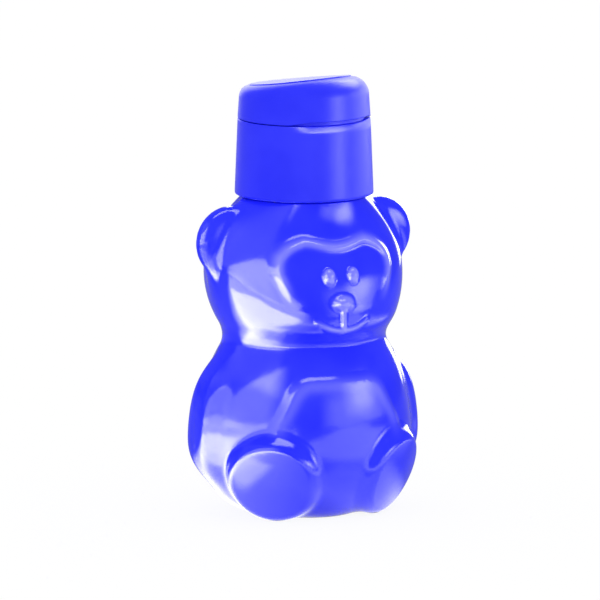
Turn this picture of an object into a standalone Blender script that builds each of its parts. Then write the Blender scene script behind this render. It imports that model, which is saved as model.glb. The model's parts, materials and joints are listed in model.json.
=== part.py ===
"""Bear-shaped water bottle with a screw cap and a flip-top lid.

One blow-moulded bear holds the water. Its neck finish stands inside a smooth screw cap, whose deck
carries the drinking spout and, at the back, the lugs of the lid's hinge. The wedge-shaped lid carries
a soft plug that closes the spout.

Frame: metres, +Z up. The bear faces -Y and its left side is +X. The origin is the centre of the flat
base. The cap is modelled with its thumb recess towards -Y and then turned to where its thread stops.
"""

import math

import bmesh
import bpy
from mathutils import Matrix, Vector

MM = 0.001

# Clearance between two pieces that touch, and how far a cutter runs past what it cuts
GAP = 0.3 * MM
OVERRUN = 1.0 * MM

# Blow-moulded wall
WALL = 1.4 * MM

# Base and body, seen as half widths to the side and reaches to the front and the back
BASE_HALF_WIDTH = 14.5 * MM
BASE_HALF_DEPTH = 17.0 * MM
BODY_MID_Z = 26.0 * MM
BODY_HALF_WIDTH = 38.5 * MM
BODY_FRONT = 31.0 * MM
BODY_BACK = 33.0 * MM

# Waist between body and head
WAIST_Z = 62.3 * MM
WAIST_HALF_WIDTH = 29.0 * MM
WAIST_FRONT = 25.6 * MM
WAIST_BACK = 25.4 * MM
WAIST_FILLET = 1.8 * MM
WAIST_BAND = 5.0 * MM

# Head, with the muzzle as its foremost level
HEAD_MID_Z = 84.5 * MM
HEAD_HALF_WIDTH = 35.1 * MM
HEAD_BACK = 33.0 * MM
MUZZLE_Z = 70.0 * MM
MUZZLE_FRONT = 31.4 * MM
SHOULDER_Z = 110.1 * MM
SHOULDER_RADIUS = 21.6 * MM

# Neck finish
NECK_RADIUS = 20.0 * MM
NECK_WALL = 1.6 * MM
NECK_LENGTH = 20.4 * MM
NECK_RIM_BEVEL = 0.5 * MM

# Ears: round dished pads that face forwards
EAR_RADIUS = 12.6 * MM
EAR_THICKNESS = 8.0 * MM
EAR_DISH = 0.9 * MM
EAR_SINK = 6.5 * MM
EAR_RISE = 10.8 * MM
EAR_SETBACK = 0.5 * MM
EAR_DISH_SHARE = 0.55
EAR_RIM_FULLNESS = 0.95

# Arms: long pods that hug the sides of the body
ARM_HALF_DEPTH = 9.2 * MM
ARM_HALF_LENGTH = 22.3 * MM
ARM_HALF_THICKNESS = 8.5 * MM
ARM_PROUD = 3.8 * MM
ARM_MID_Z = 33.8 * MM
ARM_SETBACK = 0.8 * MM
ARM_FULLNESS = 3.8

# Feet: round drums that show their soles
FOOT_RADIUS = 15.9 * MM
FOOT_EDGE_ROUND = 3.2 * MM
FOOT_REACH = 10.8 * MM
FOOT_ROOT = 4.0 * MM
FOOT_ROOT_TAPER = 1.0 * MM
FOOT_SPREAD = 18.2 * MM
FOOT_FORWARD = 16.0 * MM
FOOT_SPLAY = math.radians(37.0)
FOOT_TILT = math.radians(21.0)
SOLE_PAD_RADIUS = 12.6 * MM
SOLE_PAD_STEP = 0.6 * MM
SOLE_CROWN = 0.1 * MM
SOLE_CROWN_SHARE = 0.6
SOLE_GROOVE = 0.6 * MM

# Heart-topped face, raised from the head and fading into the muzzle
FACE_RAISE = 1.0 * MM
FACE_HALF_WIDTH = 22.5 * MM
FACE_WIDEST_Z = 87.0 * MM
FACE_LOBE_X = 11.8 * MM
FACE_LOBE_Z = 100.3 * MM
FACE_DIP_Z = 96.8 * MM
FACE_FADE_Z = 70.0 * MM
FACE_FADE_LENGTH = 9.0 * MM
FACE_LEAST_SHARE = 0.35
FACE_LOBE_FULLNESS = 0.75
FACE_DIP_SHARPNESS = 1.5
FACE_LOW_SHARE = 0.72

# Eyes, nose and mouth
EYE_SPACING = 9.0 * MM
EYE_Z = 85.5 * MM
EYE_HALF_WIDTH = 2.3 * MM
EYE_HALF_HEIGHT = 3.05 * MM
EYE_RAISE = 0.8 * MM
NOSE_Z = 76.6 * MM
NOSE_HALF_WIDTH = 4.0 * MM
NOSE_HALF_HEIGHT = 2.7 * MM
NOSE_RAISE = 2.6 * MM
PHILTRUM_RADIUS = 0.8 * MM
MOUTH_Z = 66.9 * MM
MOUTH_HALF_SPAN = 9.3 * MM
MOUTH_RISE = 3.2 * MM
MOUTH_RADIUS = 0.8 * MM
BEAD_PROUD = 0.2 * MM

# Tummy panel between the feet and the waist
TUMMY_RAISE = 0.9 * MM
TUMMY_TOP_Z = 50.3 * MM
TUMMY_TOP_HALF_WIDTH = 19.0 * MM
TUMMY_HALF_WIDTH = 24.5 * MM
TUMMY_WIDEST_Z = 31.0 * MM
TUMMY_BOTTOM_Z = 8.0 * MM
TUMMY_CORNER = 9.0 * MM

# Sealing ring on the neck's rim
SEAL_THICKNESS = 1.6 * MM
SEAL_OVERHANG = 1.1 * MM
SEAL_BEVEL = 0.3 * MM

# Cap: skirt, deck and rim
CAP_STOP_ANGLE = math.radians(14.0)
SKIRT_CLEARANCE_Z = 0.6 * MM
THREAD_SPACE = 1.5 * MM
SKIRT_WALL = 2.5 * MM
SKIRT_TAPER = 1.05 * MM
DECK_THICKNESS = 1.6 * MM
RIM_HEIGHT = 2.7 * MM
CAP_EDGE_ROUND = 0.5 * MM

# Collar that stands inside the lid
COLLAR_RISE = 1.8 * MM
COLLAR_WALL = 1.3 * MM

# Drinking spout
SPOUT_RADIUS = 7.9 * MM
SPOUT_BORE_RADIUS = 5.8 * MM
SPOUT_HEIGHT = 9.3 * MM
SPOUT_FLARE = 1.5 * MM
SPOUT_LIP_ROUND = 0.7 * MM

# Thumb recess between the rim and the lid
THUMB_HALF_ANGLE = math.radians(52.0)
THUMB_SCOOP_DEPTH = 1.55 * MM
THUMB_SCOOP_DROP = 1.8 * MM
THUMB_LIP_RISE = 1.1 * MM

# Lid: a cup with a drafted side and a sloping top
LID_DRAFT = 0.067
LID_HEIGHT = 12.9 * MM
LID_SLOPE = 0.108
LID_FILLET = 4.6 * MM
LID_FILLET_SWELL = 1.9 * MM
LID_WALL = 1.8 * MM

# Hinge at the back of the cap
HINGE_GAP = 0.4 * MM
KNUCKLE_RADIUS = 2.4 * MM
KNUCKLE_WIDTH = 5.4 * MM
LUG_WIDTH = 2.6 * MM
LUG_DROP = 3.4 * MM
PIN_RADIUS = 1.0 * MM

# Soft plug in the lid
PLUG_DEPTH = 2.2 * MM
PLUG_TAPER = 0.5 * MM
PLUG_FLANGE_THICKNESS = 1.5 * MM
PLUG_FLANGE_OVERHANG = 0.5 * MM
PLUG_STEM_RADIUS = 4.2 * MM
SOCKET_WALL = 1.6 * MM

# Fineness of the round forms
TRUNK_SEGMENTS = 36
TURNED_STEPS = 48
LIMB_STEPS = 20

# Levels and radii that follow from the values above
NECK_TOP_Z = SHOULDER_Z + NECK_LENGTH
SEAL_BOTTOM_Z = NECK_TOP_Z + GAP
DECK_BOTTOM_Z = SEAL_BOTTOM_Z + SEAL_THICKNESS + GAP
DECK_TOP_Z = DECK_BOTTOM_Z + DECK_THICKNESS
RIM_Z = DECK_TOP_Z + RIM_HEIGHT
SKIRT_BOTTOM_Z = SHOULDER_Z + SKIRT_CLEARANCE_Z
SKIRT_INNER_RADIUS = NECK_RADIUS + THREAD_SPACE
SKIRT_BOTTOM_RADIUS = SKIRT_INNER_RADIUS + SKIRT_WALL
RIM_RADIUS = SKIRT_BOTTOM_RADIUS - SKIRT_TAPER
SEAL_INNER_RADIUS = NECK_RADIUS - NECK_WALL - SEAL_OVERHANG
SPOUT_TOP_Z = DECK_TOP_Z + SPOUT_HEIGHT
LID_BOTTOM_Z = RIM_Z + GAP
LID_TOP_Z = LID_BOTTOM_Z + LID_HEIGHT
LID_RADIUS = RIM_RADIUS
COLLAR_RADIUS = LID_RADIUS - LID_WALL - GAP
PIVOT = Vector((0.0, LID_RADIUS + HINGE_GAP + KNUCKLE_RADIUS, RIM_Z + GAP / 2))

# Colours, as red, green and blue in linear light
BOTTLE_BLUE = (0.035, 0.05, 0.95)
CAP_BLUE = (0.05, 0.065, 0.97)
SILICONE = (0.72, 0.76, 0.95)
STEEL = (0.62, 0.62, 0.65)


def clear_scene():
    for obj in list(bpy.data.objects):
        bpy.data.objects.remove(obj, do_unlink=True)


def new_collection(name):
    collection = bpy.data.collections.new(name)
    bpy.context.scene.collection.children.link(collection)
    return collection


def make_material(name, colour, roughness, metallic=0.0):
    material = bpy.data.materials.new(name)
    material.use_nodes = True
    shader = material.node_tree.nodes["Principled BSDF"]
    shader.inputs["Base Color"].default_value = (*colour, 1.0)
    shader.inputs["Roughness"].default_value = roughness
    shader.inputs["Metallic"].default_value = metallic
    material.diffuse_color = (*colour, 1.0)
    return material


def add_object(name, mesh, collection, parent=None):
    obj = bpy.data.objects.new(name, mesh)
    collection.objects.link(obj)
    if collection == guides:
        obj.hide_render = True
        obj.display_type = "WIRE"
    if parent is not None:
        obj.parent = parent
        obj.location = -parent.location if parent == lid_pivot else Vector()
    return obj


def finish_piece(obj, material, sharp_angle=35.0):
    obj.data.materials.append(material)
    obj.data.shade_smooth()
    obj.data.set_sharp_from_angle(angle=math.radians(sharp_angle))
    return obj


def boolean(target, tool, operation):
    modifier = target.modifiers.new(f"{operation.lower()} {tool.name}", "BOOLEAN")
    modifier.operation = operation
    modifier.solver = "EXACT"
    modifier.object = tool
    return modifier


def turned(name, profile, collection, parent=None, steps=TURNED_STEPS, closed=True):
    """Turn a profile of (radius, height) points about the Z axis; it runs down its outer side."""
    mesh = bpy.data.meshes.new(name)
    points = [(radius, 0.0, height) for radius, height in profile]
    edges = [(index, index + 1) for index in range(len(points) - 1)]
    if closed:
        edges.append((len(points) - 1, 0))
    mesh.from_pydata(points, edges, [])
    obj = add_object(name, mesh, collection, parent)
    screw = obj.modifiers.new("turn", "SCREW")
    screw.axis = "Z"
    screw.steps = steps
    screw.render_steps = steps
    screw.use_merge_vertices = True
    screw.merge_threshold = 0.00001
    return obj


def loft(name, rings, collection, parent=None, close_top=True, close_bottom=True):
    """Join rings of equal point counts, listed from the bottom up and counter-clockwise from above."""
    mesh = bpy.data.meshes.new(name)
    bm = bmesh.new()
    levels = [[bm.verts.new(point) for point in ring] for ring in rings]
    count = len(rings[0])
    for low, high in zip(levels, levels[1:]):
        for index in range(count):
            after = (index + 1) % count
            bm.faces.new((low[index], low[after], high[after], high[index]))
    if close_bottom:
        bm.faces.new(list(reversed(levels[0])))
    if close_top:
        bm.faces.new(levels[-1])
    bm.to_mesh(mesh)
    bm.free()
    return add_object(name, mesh, collection, parent)


def box(name, low, high, collection, parent=None):
    mesh = bpy.data.meshes.new(name)
    bm = bmesh.new()
    bmesh.ops.create_cube(bm, size=1.0)
    size = Vector(high) - Vector(low)
    centre = (Vector(high) + Vector(low)) / 2
    bm.transform(Matrix.Translation(centre) @ Matrix.Diagonal((*size, 1.0)))
    bm.to_mesh(mesh)
    bm.free()
    return add_object(name, mesh, collection, parent)


def ellipsoid(name, centre, radii, collection, segments=16, rings=8):
    mesh = bpy.data.meshes.new(name)
    bm = bmesh.new()
    bmesh.ops.create_uvsphere(bm, u_segments=segments, v_segments=rings, radius=1.0)
    bm.transform(Matrix.Translation(centre) @ Matrix.Diagonal((*radii, 1.0)))
    bm.to_mesh(mesh)
    bm.free()
    return add_object(name, mesh, collection)


def cross_cylinder(name, radius, x_low, x_high, centre, collection, parent, segments=20):
    """A cylinder along X, such as a hinge knuckle or its bore."""
    mesh = bpy.data.meshes.new(name)
    bm = bmesh.new()
    bmesh.ops.create_cone(bm, cap_ends=True, segments=segments, radius1=radius, radius2=radius,
                          depth=x_high - x_low)
    middle = Vector(((x_low + x_high) / 2, centre.y, centre.z))
    bm.transform(Matrix.Translation(middle) @ Matrix.Rotation(math.radians(90.0), 4, "Y"))
    bm.to_mesh(mesh)
    bm.free()
    return add_object(name, mesh, collection, parent)


def ring_sector(name, inner, outer, z_low, z_high, half_angle, collection, parent, steps=18):
    """A part of a flat ring, centred on -Y."""
    mesh = bpy.data.meshes.new(name)
    bm = bmesh.new()
    start = math.radians(-90.0) - half_angle
    corners = [(inner, z_low), (outer, z_low), (outer, z_high), (inner, z_high)]
    sections = []
    for index in range(steps + 1):
        angle = start + 2 * half_angle * index / steps
        sections.append([bm.verts.new((radius * math.cos(angle), radius * math.sin(angle), height))
                         for radius, height in corners])
    for near, far in zip(sections, sections[1:]):
        for index in range(4):
            after = (index + 1) % 4
            bm.faces.new((near[index], near[after], far[after], far[index]))
    bm.faces.new(list(reversed(sections[0])))
    bm.faces.new(sections[-1])
    bmesh.ops.recalc_face_normals(bm, faces=bm.faces)
    bm.to_mesh(mesh)
    bm.free()
    return add_object(name, mesh, collection, parent)


def curve_to_mesh(curve_object, collection):
    """Replace a curve object by its mesh, with its caps welded on."""
    bpy.context.view_layer.update()
    evaluated = curve_object.evaluated_get(bpy.context.evaluated_depsgraph_get())
    mesh = bpy.data.meshes.new_from_object(evaluated)
    bm = bmesh.new()
    bm.from_mesh(mesh)
    bmesh.ops.remove_doubles(bm, verts=bm.verts, dist=0.00001)
    bm.to_mesh(mesh)
    bm.free()
    name = curve_object.name
    matrix = curve_object.matrix_world.copy()
    bpy.data.objects.remove(curve_object, do_unlink=True)
    obj = add_object(name, mesh, collection)
    obj.matrix_world = matrix
    return obj


def bead(name, points, radius, collection):
    """A round bead along the given points, as a mesh."""
    curve = bpy.data.curves.new(name, "CURVE")
    curve.dimensions = "3D"
    curve.bevel_depth = radius
    curve.bevel_resolution = 2
    curve.use_fill_caps = True
    spline = curve.splines.new("POLY")
    spline.points.add(len(points) - 1)
    for target, point in zip(spline.points, points):
        target.co = (*point, 1.0)
    return curve_to_mesh(add_object(name, curve, collection), collection)


def front_plate(name, outline, depth, collection):
    """A plate in front of the bear: an outline of (x, z) points, carried from the axis towards -Y."""
    curve = bpy.data.curves.new(name, "CURVE")
    curve.dimensions = "2D"
    curve.fill_mode = "BOTH"
    curve.extrude = depth / 2
    spline = curve.splines.new("POLY")
    spline.points.add(len(outline) - 1)
    for target, (x, z) in zip(spline.points, outline):
        target.co = (x, z, 0.0, 1.0)
    spline.use_cyclic_u = True
    obj = add_object(name, curve, collection)
    upright = Matrix.Rotation(math.radians(90.0), 4, "X")
    obj.matrix_world = Matrix.Translation((0.0, -depth / 2, 0.0)) @ upright
    return curve_to_mesh(obj, collection)


# Outline of the trunk: body, waist and head in one smooth form

def smooth_larger(first, second, fillet):
    """The larger of two reaches, with the crease between them filled by up to the fillet."""
    spread = 4 * fillet
    overlap = max(spread - abs(first - second), 0.0)
    return max(first, second) + overlap * overlap / (4 * spread)


def arc(height, middle_z, middle, crossing_z, crossing):
    """An elliptical arc that is widest at its middle and passes through the crossing."""
    drop = (crossing_z - middle_z) / math.sqrt(1.0 - (crossing / middle) ** 2)
    share = 1.0 - ((height - middle_z) / drop) ** 2
    return middle * math.sqrt(max(share, 0.0))


def bowl(height, floor, base, middle):
    share = 1.0 - ((BODY_MID_Z - height) / (BODY_MID_Z - floor)) ** 2
    return base + (middle - base) * math.sqrt(max(share, 0.0))


def dome(height, middle_z, middle):
    """From the head's middle to the round shoulder."""
    share = (height - middle_z) / (SHOULDER_Z - middle_z)
    return SHOULDER_RADIUS + (middle - SHOULDER_RADIUS) * (1.0 - share ** 2)


def brow(height):
    """From the muzzle up the face to the shoulder, as half a cosine wave."""
    share = (height - MUZZLE_Z) / (SHOULDER_Z - MUZZLE_Z)
    return SHOULDER_RADIUS + (MUZZLE_FRONT - SHOULDER_RADIUS) * (1.0 + math.cos(math.pi * share)) / 2


def side_reach(height):
    if height <= BODY_MID_Z:
        return bowl(height, 0.0, BASE_HALF_WIDTH, BODY_HALF_WIDTH)
    if height >= HEAD_MID_Z:
        return dome(height, HEAD_MID_Z, HEAD_HALF_WIDTH)
    crossing = WAIST_HALF_WIDTH - WAIST_FILLET
    body = arc(height, BODY_MID_Z, BODY_HALF_WIDTH, WAIST_Z, crossing)
    head = arc(height, HEAD_MID_Z, HEAD_HALF_WIDTH, WAIST_Z, crossing)
    return smooth_larger(body, head, WAIST_FILLET)


def front_reach(height):
    if height <= BODY_MID_Z:
        return bowl(height, 0.0, BASE_HALF_DEPTH, BODY_FRONT)
    if height >= MUZZLE_Z:
        return brow(height)
    crossing = WAIST_FRONT - WAIST_FILLET
    body = arc(height, BODY_MID_Z, BODY_FRONT, WAIST_Z, crossing)
    head = arc(height, MUZZLE_Z, MUZZLE_FRONT, WAIST_Z, crossing)
    return smooth_larger(body, head, WAIST_FILLET)


def back_reach(height):
    if height <= BODY_MID_Z:
        return bowl(height, 0.0, BASE_HALF_DEPTH, BODY_BACK)
    if height >= HEAD_MID_Z:
        return dome(height, HEAD_MID_Z, HEAD_BACK)
    crossing = WAIST_BACK - WAIST_FILLET
    body = arc(height, BODY_MID_Z, BODY_BACK, WAIST_Z, crossing)
    head = arc(height, HEAD_MID_Z, HEAD_BACK, WAIST_Z, crossing)
    return smooth_larger(body, head, WAIST_FILLET)


def inset(reach, height, wall):
    """A reach less the wall, measured square to the sloping outline."""
    step = 0.2 * MM
    slope = (reach(height + step) - reach(height - step)) / (2 * step)
    return reach(height) - wall * math.sqrt(1.0 + slope * slope)


def section(height, side, front, back, segments=TRUNK_SEGMENTS):
    """A ring of two half ellipses, front and back, that share their width."""
    ring = []
    for index in range(segments):
        angle = 2 * math.pi * index / segments
        depth = back if math.sin(angle) > 0.0 else front
        ring.append((side * math.cos(angle), depth * math.sin(angle), height))
    return ring


def front_surface(x, height, raise_by=0.0):
    """The point of the trunk's front at a place across and a height, raised along the depth."""
    side = side_reach(height)
    depth = front_reach(height) * math.sqrt(max(1.0 - (x / side) ** 2, 0.0))
    return Vector((x, -depth - raise_by, height))


def spaced(low, high, steps):
    return [low + (high - low) * index / steps for index in range(steps)]


def wall_levels():
    """Heights of the sections above the body's middle, closer together round the waist."""
    below = WAIST_Z - WAIST_BAND
    above = WAIST_Z + WAIST_BAND
    return (spaced(BODY_MID_Z, below, 6) + spaced(below, above, 5) + spaced(above, HEAD_MID_Z, 4)
            + spaced(HEAD_MID_Z, SHOULDER_Z, 6))


def bowl_levels(floor, steps=7):
    """Heights of the sections of the bowl, closer together near the base."""
    rise = BODY_MID_Z - floor
    return [floor + rise * (1.0 - math.cos(math.pi / 2 * index / steps)) for index in range(steps)]


def outer_trunk():
    rings = [section(z, side_reach(z), front_reach(z), back_reach(z)) for z in bowl_levels(0.0)]
    rings += [section(z, side_reach(z), front_reach(z), back_reach(z)) for z in wall_levels()]
    rings.append(section(SHOULDER_Z, SHOULDER_RADIUS, SHOULDER_RADIUS, SHOULDER_RADIUS))
    for radius, height in ((NECK_RADIUS, SHOULDER_Z), (NECK_RADIUS, NECK_TOP_Z - NECK_RIM_BEVEL),
                           (NECK_RADIUS - NECK_RIM_BEVEL, NECK_TOP_Z)):
        rings.append(section(height, radius, radius, radius))
    return loft("bottle_shell", rings, parts)


def inner_trunk():
    """The cavity: the trunk's outline less the wall, and the bore of the neck."""
    rings = []
    for z in bowl_levels(WALL):
        rings.append(section(z, bowl(z, WALL, BASE_HALF_WIDTH - WALL, BODY_HALF_WIDTH - WALL),
                             bowl(z, WALL, BASE_HALF_DEPTH - WALL, BODY_FRONT - WALL),
                             bowl(z, WALL, BASE_HALF_DEPTH - WALL, BODY_BACK - WALL)))
    for z in wall_levels()[:-1]:
        rings.append(section(z, inset(side_reach, z, WALL), inset(front_reach, z, WALL),
                             inset(back_reach, z, WALL)))
    bore = NECK_RADIUS - NECK_WALL
    lip = bore + WALL
    rings.append(section(SHOULDER_Z - 2 * WALL, lip, lip, lip))
    rings.append(section(SHOULDER_Z - WALL, bore, bore, bore))
    rings.append(section(NECK_TOP_Z + OVERRUN, bore, bore, bore))
    return loft("cavity_trunk", rings, guides)


def ear_profile(thinner):
    """Half the outline of an ear pad, from its front centre over the rim to its back centre."""
    radius = EAR_RADIUS - thinner
    half = EAR_THICKNESS / 2 - thinner
    rim = half * EAR_RIM_FULLNESS
    points = [(0.0, half - EAR_DISH), (radius * EAR_DISH_SHARE, half - EAR_DISH), (radius - rim, half)]
    points += [(radius - rim + rim * math.sin(angle), half * math.cos(angle))
               for angle in (math.radians(degrees) for degrees in (30, 60, 90, 120, 150))]
    points += [(radius - rim, -half), (0.0, -half)]
    return points


def place_ear(obj, side):
    """Stand an ear pad on the side of the head, facing forwards."""
    obj.location = (side * (HEAD_HALF_WIDTH - EAR_SINK), EAR_SETBACK, HEAD_MID_Z + EAR_RISE)
    obj.rotation_euler = (math.radians(90.0), 0.0, 0.0)


def foot_profile(thinner):
    """Half the outline of a foot drum, from the sole's centre over its edge to the root."""
    radius = FOOT_RADIUS - thinner
    reach = FOOT_REACH - thinner
    edge = FOOT_EDGE_ROUND - thinner
    pad = SOLE_PAD_RADIUS - thinner
    points = [(0.0, reach), (pad * SOLE_CROWN_SHARE, reach - SOLE_CROWN), (pad, reach - SOLE_PAD_STEP)]
    if thinner == 0.0:
        points.append((pad + SOLE_GROOVE / 2, reach - 2 * SOLE_PAD_STEP))
        points.append((pad + 1.5 * SOLE_GROOVE, reach - 2 * SOLE_PAD_STEP))
    widest = reach - 2 * SOLE_PAD_STEP - edge
    points += [(radius - edge + edge * math.sin(angle), widest + edge * math.cos(angle))
               for angle in (math.radians(degrees) for degrees in (40, 65, 90))]
    root = thinner - FOOT_ROOT
    points += [(radius - FOOT_ROOT_TAPER, root), (0.0, root)]
    return points


def place_foot(obj, side):
    """Splay a foot drum outwards and tilt its sole down, with its lowest edge just off the ground."""
    widest = FOOT_REACH - 2 * SOLE_PAD_STEP - FOOT_EDGE_ROUND
    centre_z = GAP + FOOT_RADIUS * math.cos(FOOT_TILT) + widest * math.sin(FOOT_TILT)
    obj.location = (side * FOOT_SPREAD, -FOOT_FORWARD, centre_z)
    obj.rotation_euler = (math.radians(90.0) + FOOT_TILT, 0.0, side * FOOT_SPLAY)


def arm_pod(name, side, thinner, collection):
    """An egg-shaped pod bent along the side of the body."""
    obj = ellipsoid(name, (0.0, 0.0, 0.0), (1.0, 1.0, 1.0), collection, segments=LIMB_STEPS, rings=10)
    sink = ARM_HALF_THICKNESS - ARM_PROUD
    for vertex in obj.data.vertices:
        unit = vertex.co.copy()
        girth = math.hypot(unit.x, unit.y)
        fuller = math.sqrt(1.0 - min(abs(unit.z), 1.0) ** ARM_FULLNESS) / girth if girth > 0.001 else 1.0
        height = ARM_MID_Z + (ARM_HALF_LENGTH - thinner) * unit.z
        across = side_reach(height) - sink + (ARM_HALF_THICKNESS - thinner) * fuller * unit.x * side
        along = (ARM_HALF_DEPTH - thinner) * fuller * unit.y
        vertex.co = (side * across, ARM_SETBACK + along, height)
    return obj


def raised_front(name, raise_at, low, high, outline, collection):
    """The trunk's front between two heights, raised by raise_at(height), inside an outline."""
    rings = []
    steps = 12
    for index in range(steps + 1):
        z = low + (high - low) * index / steps
        raised = raise_at(z)
        rings.append(section(z, side_reach(z) + raised, front_reach(z) + raised, back_reach(z) / 2))
    blank = loft(name, rings, collection)
    plate = front_plate(f"{name}_outline", outline, 2 * MUZZLE_FRONT, collection)
    boolean(blank, plate, "INTERSECT")
    return blank


def face_raise(height):
    share = (height - FACE_FADE_Z) / FACE_FADE_LENGTH
    return FACE_RAISE * (FACE_LEAST_SHARE + (1.0 - FACE_LEAST_SHARE) * min(max(share, 0.0), 1.0))


def face_outline():
    """Two round lobes above, meeting in a dip, and a straight taper to the muzzle below."""
    points = []
    steps = 25
    lobe = FACE_LOBE_Z - FACE_WIDEST_Z
    for index in range(steps + 1):
        angle = math.pi * index / steps
        x = FACE_HALF_WIDTH * math.cos(angle)
        rise = math.sin(angle) ** FACE_LOBE_FULLNESS
        dip = max(1.0 - (x / FACE_LOBE_X) ** 2, 0.0) ** FACE_DIP_SHARPNESS
        points.append((x, FACE_WIDEST_Z + lobe * rise - (FACE_LOBE_Z - FACE_DIP_Z) * dip))
    points.append((-FACE_HALF_WIDTH * FACE_LOW_SHARE, FACE_FADE_Z))
    points.append((FACE_HALF_WIDTH * FACE_LOW_SHARE, FACE_FADE_Z))
    return points


def tummy_outline():
    """A panel with round upper corners that widens downwards."""
    low = TUMMY_TOP_Z - TUMMY_CORNER
    corner_x = TUMMY_TOP_HALF_WIDTH - TUMMY_CORNER
    right = [(TUMMY_HALF_WIDTH, TUMMY_BOTTOM_Z), (TUMMY_HALF_WIDTH, TUMMY_WIDEST_Z)]
    right += [(corner_x + TUMMY_CORNER * math.cos(angle), low + TUMMY_CORNER * math.sin(angle))
              for angle in (math.radians(degrees) for degrees in (0, 22, 45, 68, 90))]
    left = [(-x, z) for x, z in reversed(right)]
    return right + left


def make_bottle_shell():
    shell = outer_trunk()
    forms = []
    cavities = [inner_trunk()]
    for side, word in ((1, "left"), (-1, "right")):
        for thinner, purpose, group in ((0.0, "form", forms), (WALL, "cavity", cavities)):
            ear = turned(f"{purpose}_ear_{word}", ear_profile(thinner), guides, steps=LIMB_STEPS,
                         closed=False)
            place_ear(ear, side)
            foot = turned(f"{purpose}_foot_{word}", foot_profile(thinner), guides, steps=LIMB_STEPS + 4,
                          closed=False)
            place_foot(foot, side)
            arm = arm_pod(f"{purpose}_arm_{word}", side, thinner, guides)
            group += [ear, foot, arm]
        eye_x = side * EYE_SPACING / 2
        seat = front_surface(eye_x, EYE_Z, FACE_RAISE - EYE_RAISE)
        forms.append(ellipsoid(f"form_eye_{word}", seat, (EYE_HALF_WIDTH, 2 * EYE_RAISE, EYE_HALF_HEIGHT),
                               guides, segments=12, rings=6))
    forms.append(raised_front("form_face", face_raise, FACE_FADE_Z - 2 * OVERRUN, FACE_LOBE_Z + 2 * OVERRUN,
                              face_outline(), guides))
    forms.append(raised_front("form_tummy", lambda z: TUMMY_RAISE, TUMMY_BOTTOM_Z + OVERRUN,
                              TUMMY_TOP_Z + 2 * OVERRUN, tummy_outline(), guides))
    nose_seat = front_surface(0.0, NOSE_Z, face_raise(NOSE_Z) - NOSE_HALF_HEIGHT + NOSE_RAISE / 2)
    forms.append(ellipsoid("form_nose", nose_seat,
                           (NOSE_HALF_WIDTH, NOSE_RAISE / 2 + NOSE_HALF_HEIGHT, NOSE_HALF_HEIGHT), guides,
                           segments=14, rings=8))
    philtrum = [front_surface(0.0, z, BEAD_PROUD) for z in (NOSE_Z, (NOSE_Z + MOUTH_Z) / 2, MOUTH_Z)]
    forms.append(bead("form_philtrum", philtrum, PHILTRUM_RADIUS, guides))
    smile = []
    steps = 8
    for index in range(steps + 1):
        x = MOUTH_HALF_SPAN * (2 * index / steps - 1.0)
        rise = MOUTH_RISE * (x / MOUTH_HALF_SPAN) ** 2
        smile.append(front_surface(x, MOUTH_Z + rise, BEAD_PROUD))
    forms.append(bead("form_mouth", smile, MOUTH_RADIUS, guides))
    for form in forms:
        boolean(shell, form, "UNION")
    for cavity in cavities:
        boolean(shell, cavity, "DIFFERENCE")
    return finish_piece(shell, make_material("bottle_plastic", BOTTLE_BLUE, 0.15), 40.0)


def make_neck_seal():
    outer = NECK_RADIUS + THREAD_SPACE / 3
    top = SEAL_BOTTOM_Z + SEAL_THICKNESS
    profile = [(outer - SEAL_BEVEL, top), (outer, top - SEAL_BEVEL), (outer, SEAL_BOTTOM_Z + SEAL_BEVEL),
               (outer - SEAL_BEVEL, SEAL_BOTTOM_Z), (SEAL_INNER_RADIUS + SEAL_BEVEL, SEAL_BOTTOM_Z),
               (SEAL_INNER_RADIUS, SEAL_BOTTOM_Z + SEAL_BEVEL), (SEAL_INNER_RADIUS, top - SEAL_BEVEL),
               (SEAL_INNER_RADIUS + SEAL_BEVEL, top)]
    seal = turned("neck_seal", profile, parts, cap_axis)
    return finish_piece(seal, make_material("seal_silicone", SILICONE, 0.5))


def cap_profile():
    """The cap's wall from the spout's lip, over the deck, rim and skirt, and back inside."""
    recess = COLLAR_RADIUS - COLLAR_WALL
    collar_top = RIM_Z + COLLAR_RISE
    edge = CAP_EDGE_ROUND
    lip = SPOUT_LIP_ROUND
    return [(SPOUT_BORE_RADIUS + lip, SPOUT_TOP_Z), (SPOUT_RADIUS - lip, SPOUT_TOP_Z),
            (SPOUT_RADIUS, SPOUT_TOP_Z - lip), (SPOUT_RADIUS, DECK_TOP_Z + 2 * SPOUT_FLARE),
            (SPOUT_RADIUS + SPOUT_FLARE * 0.4, DECK_TOP_Z + SPOUT_FLARE * 0.6),
            (SPOUT_RADIUS + SPOUT_FLARE, DECK_TOP_Z), (recess, DECK_TOP_Z), (recess, collar_top),
            (COLLAR_RADIUS - edge, collar_top), (COLLAR_RADIUS, collar_top - edge), (COLLAR_RADIUS, RIM_Z),
            (RIM_RADIUS - edge, RIM_Z), (RIM_RADIUS, RIM_Z - edge),
            (SKIRT_BOTTOM_RADIUS, SKIRT_BOTTOM_Z + edge), (SKIRT_BOTTOM_RADIUS - edge, SKIRT_BOTTOM_Z),
            (SKIRT_INNER_RADIUS + edge, SKIRT_BOTTOM_Z), (SKIRT_INNER_RADIUS, SKIRT_BOTTOM_Z + edge),
            (SKIRT_INNER_RADIUS, DECK_BOTTOM_Z), (SPOUT_BORE_RADIUS, DECK_BOTTOM_Z),
            (SPOUT_BORE_RADIUS, SPOUT_TOP_Z - lip)]


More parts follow.
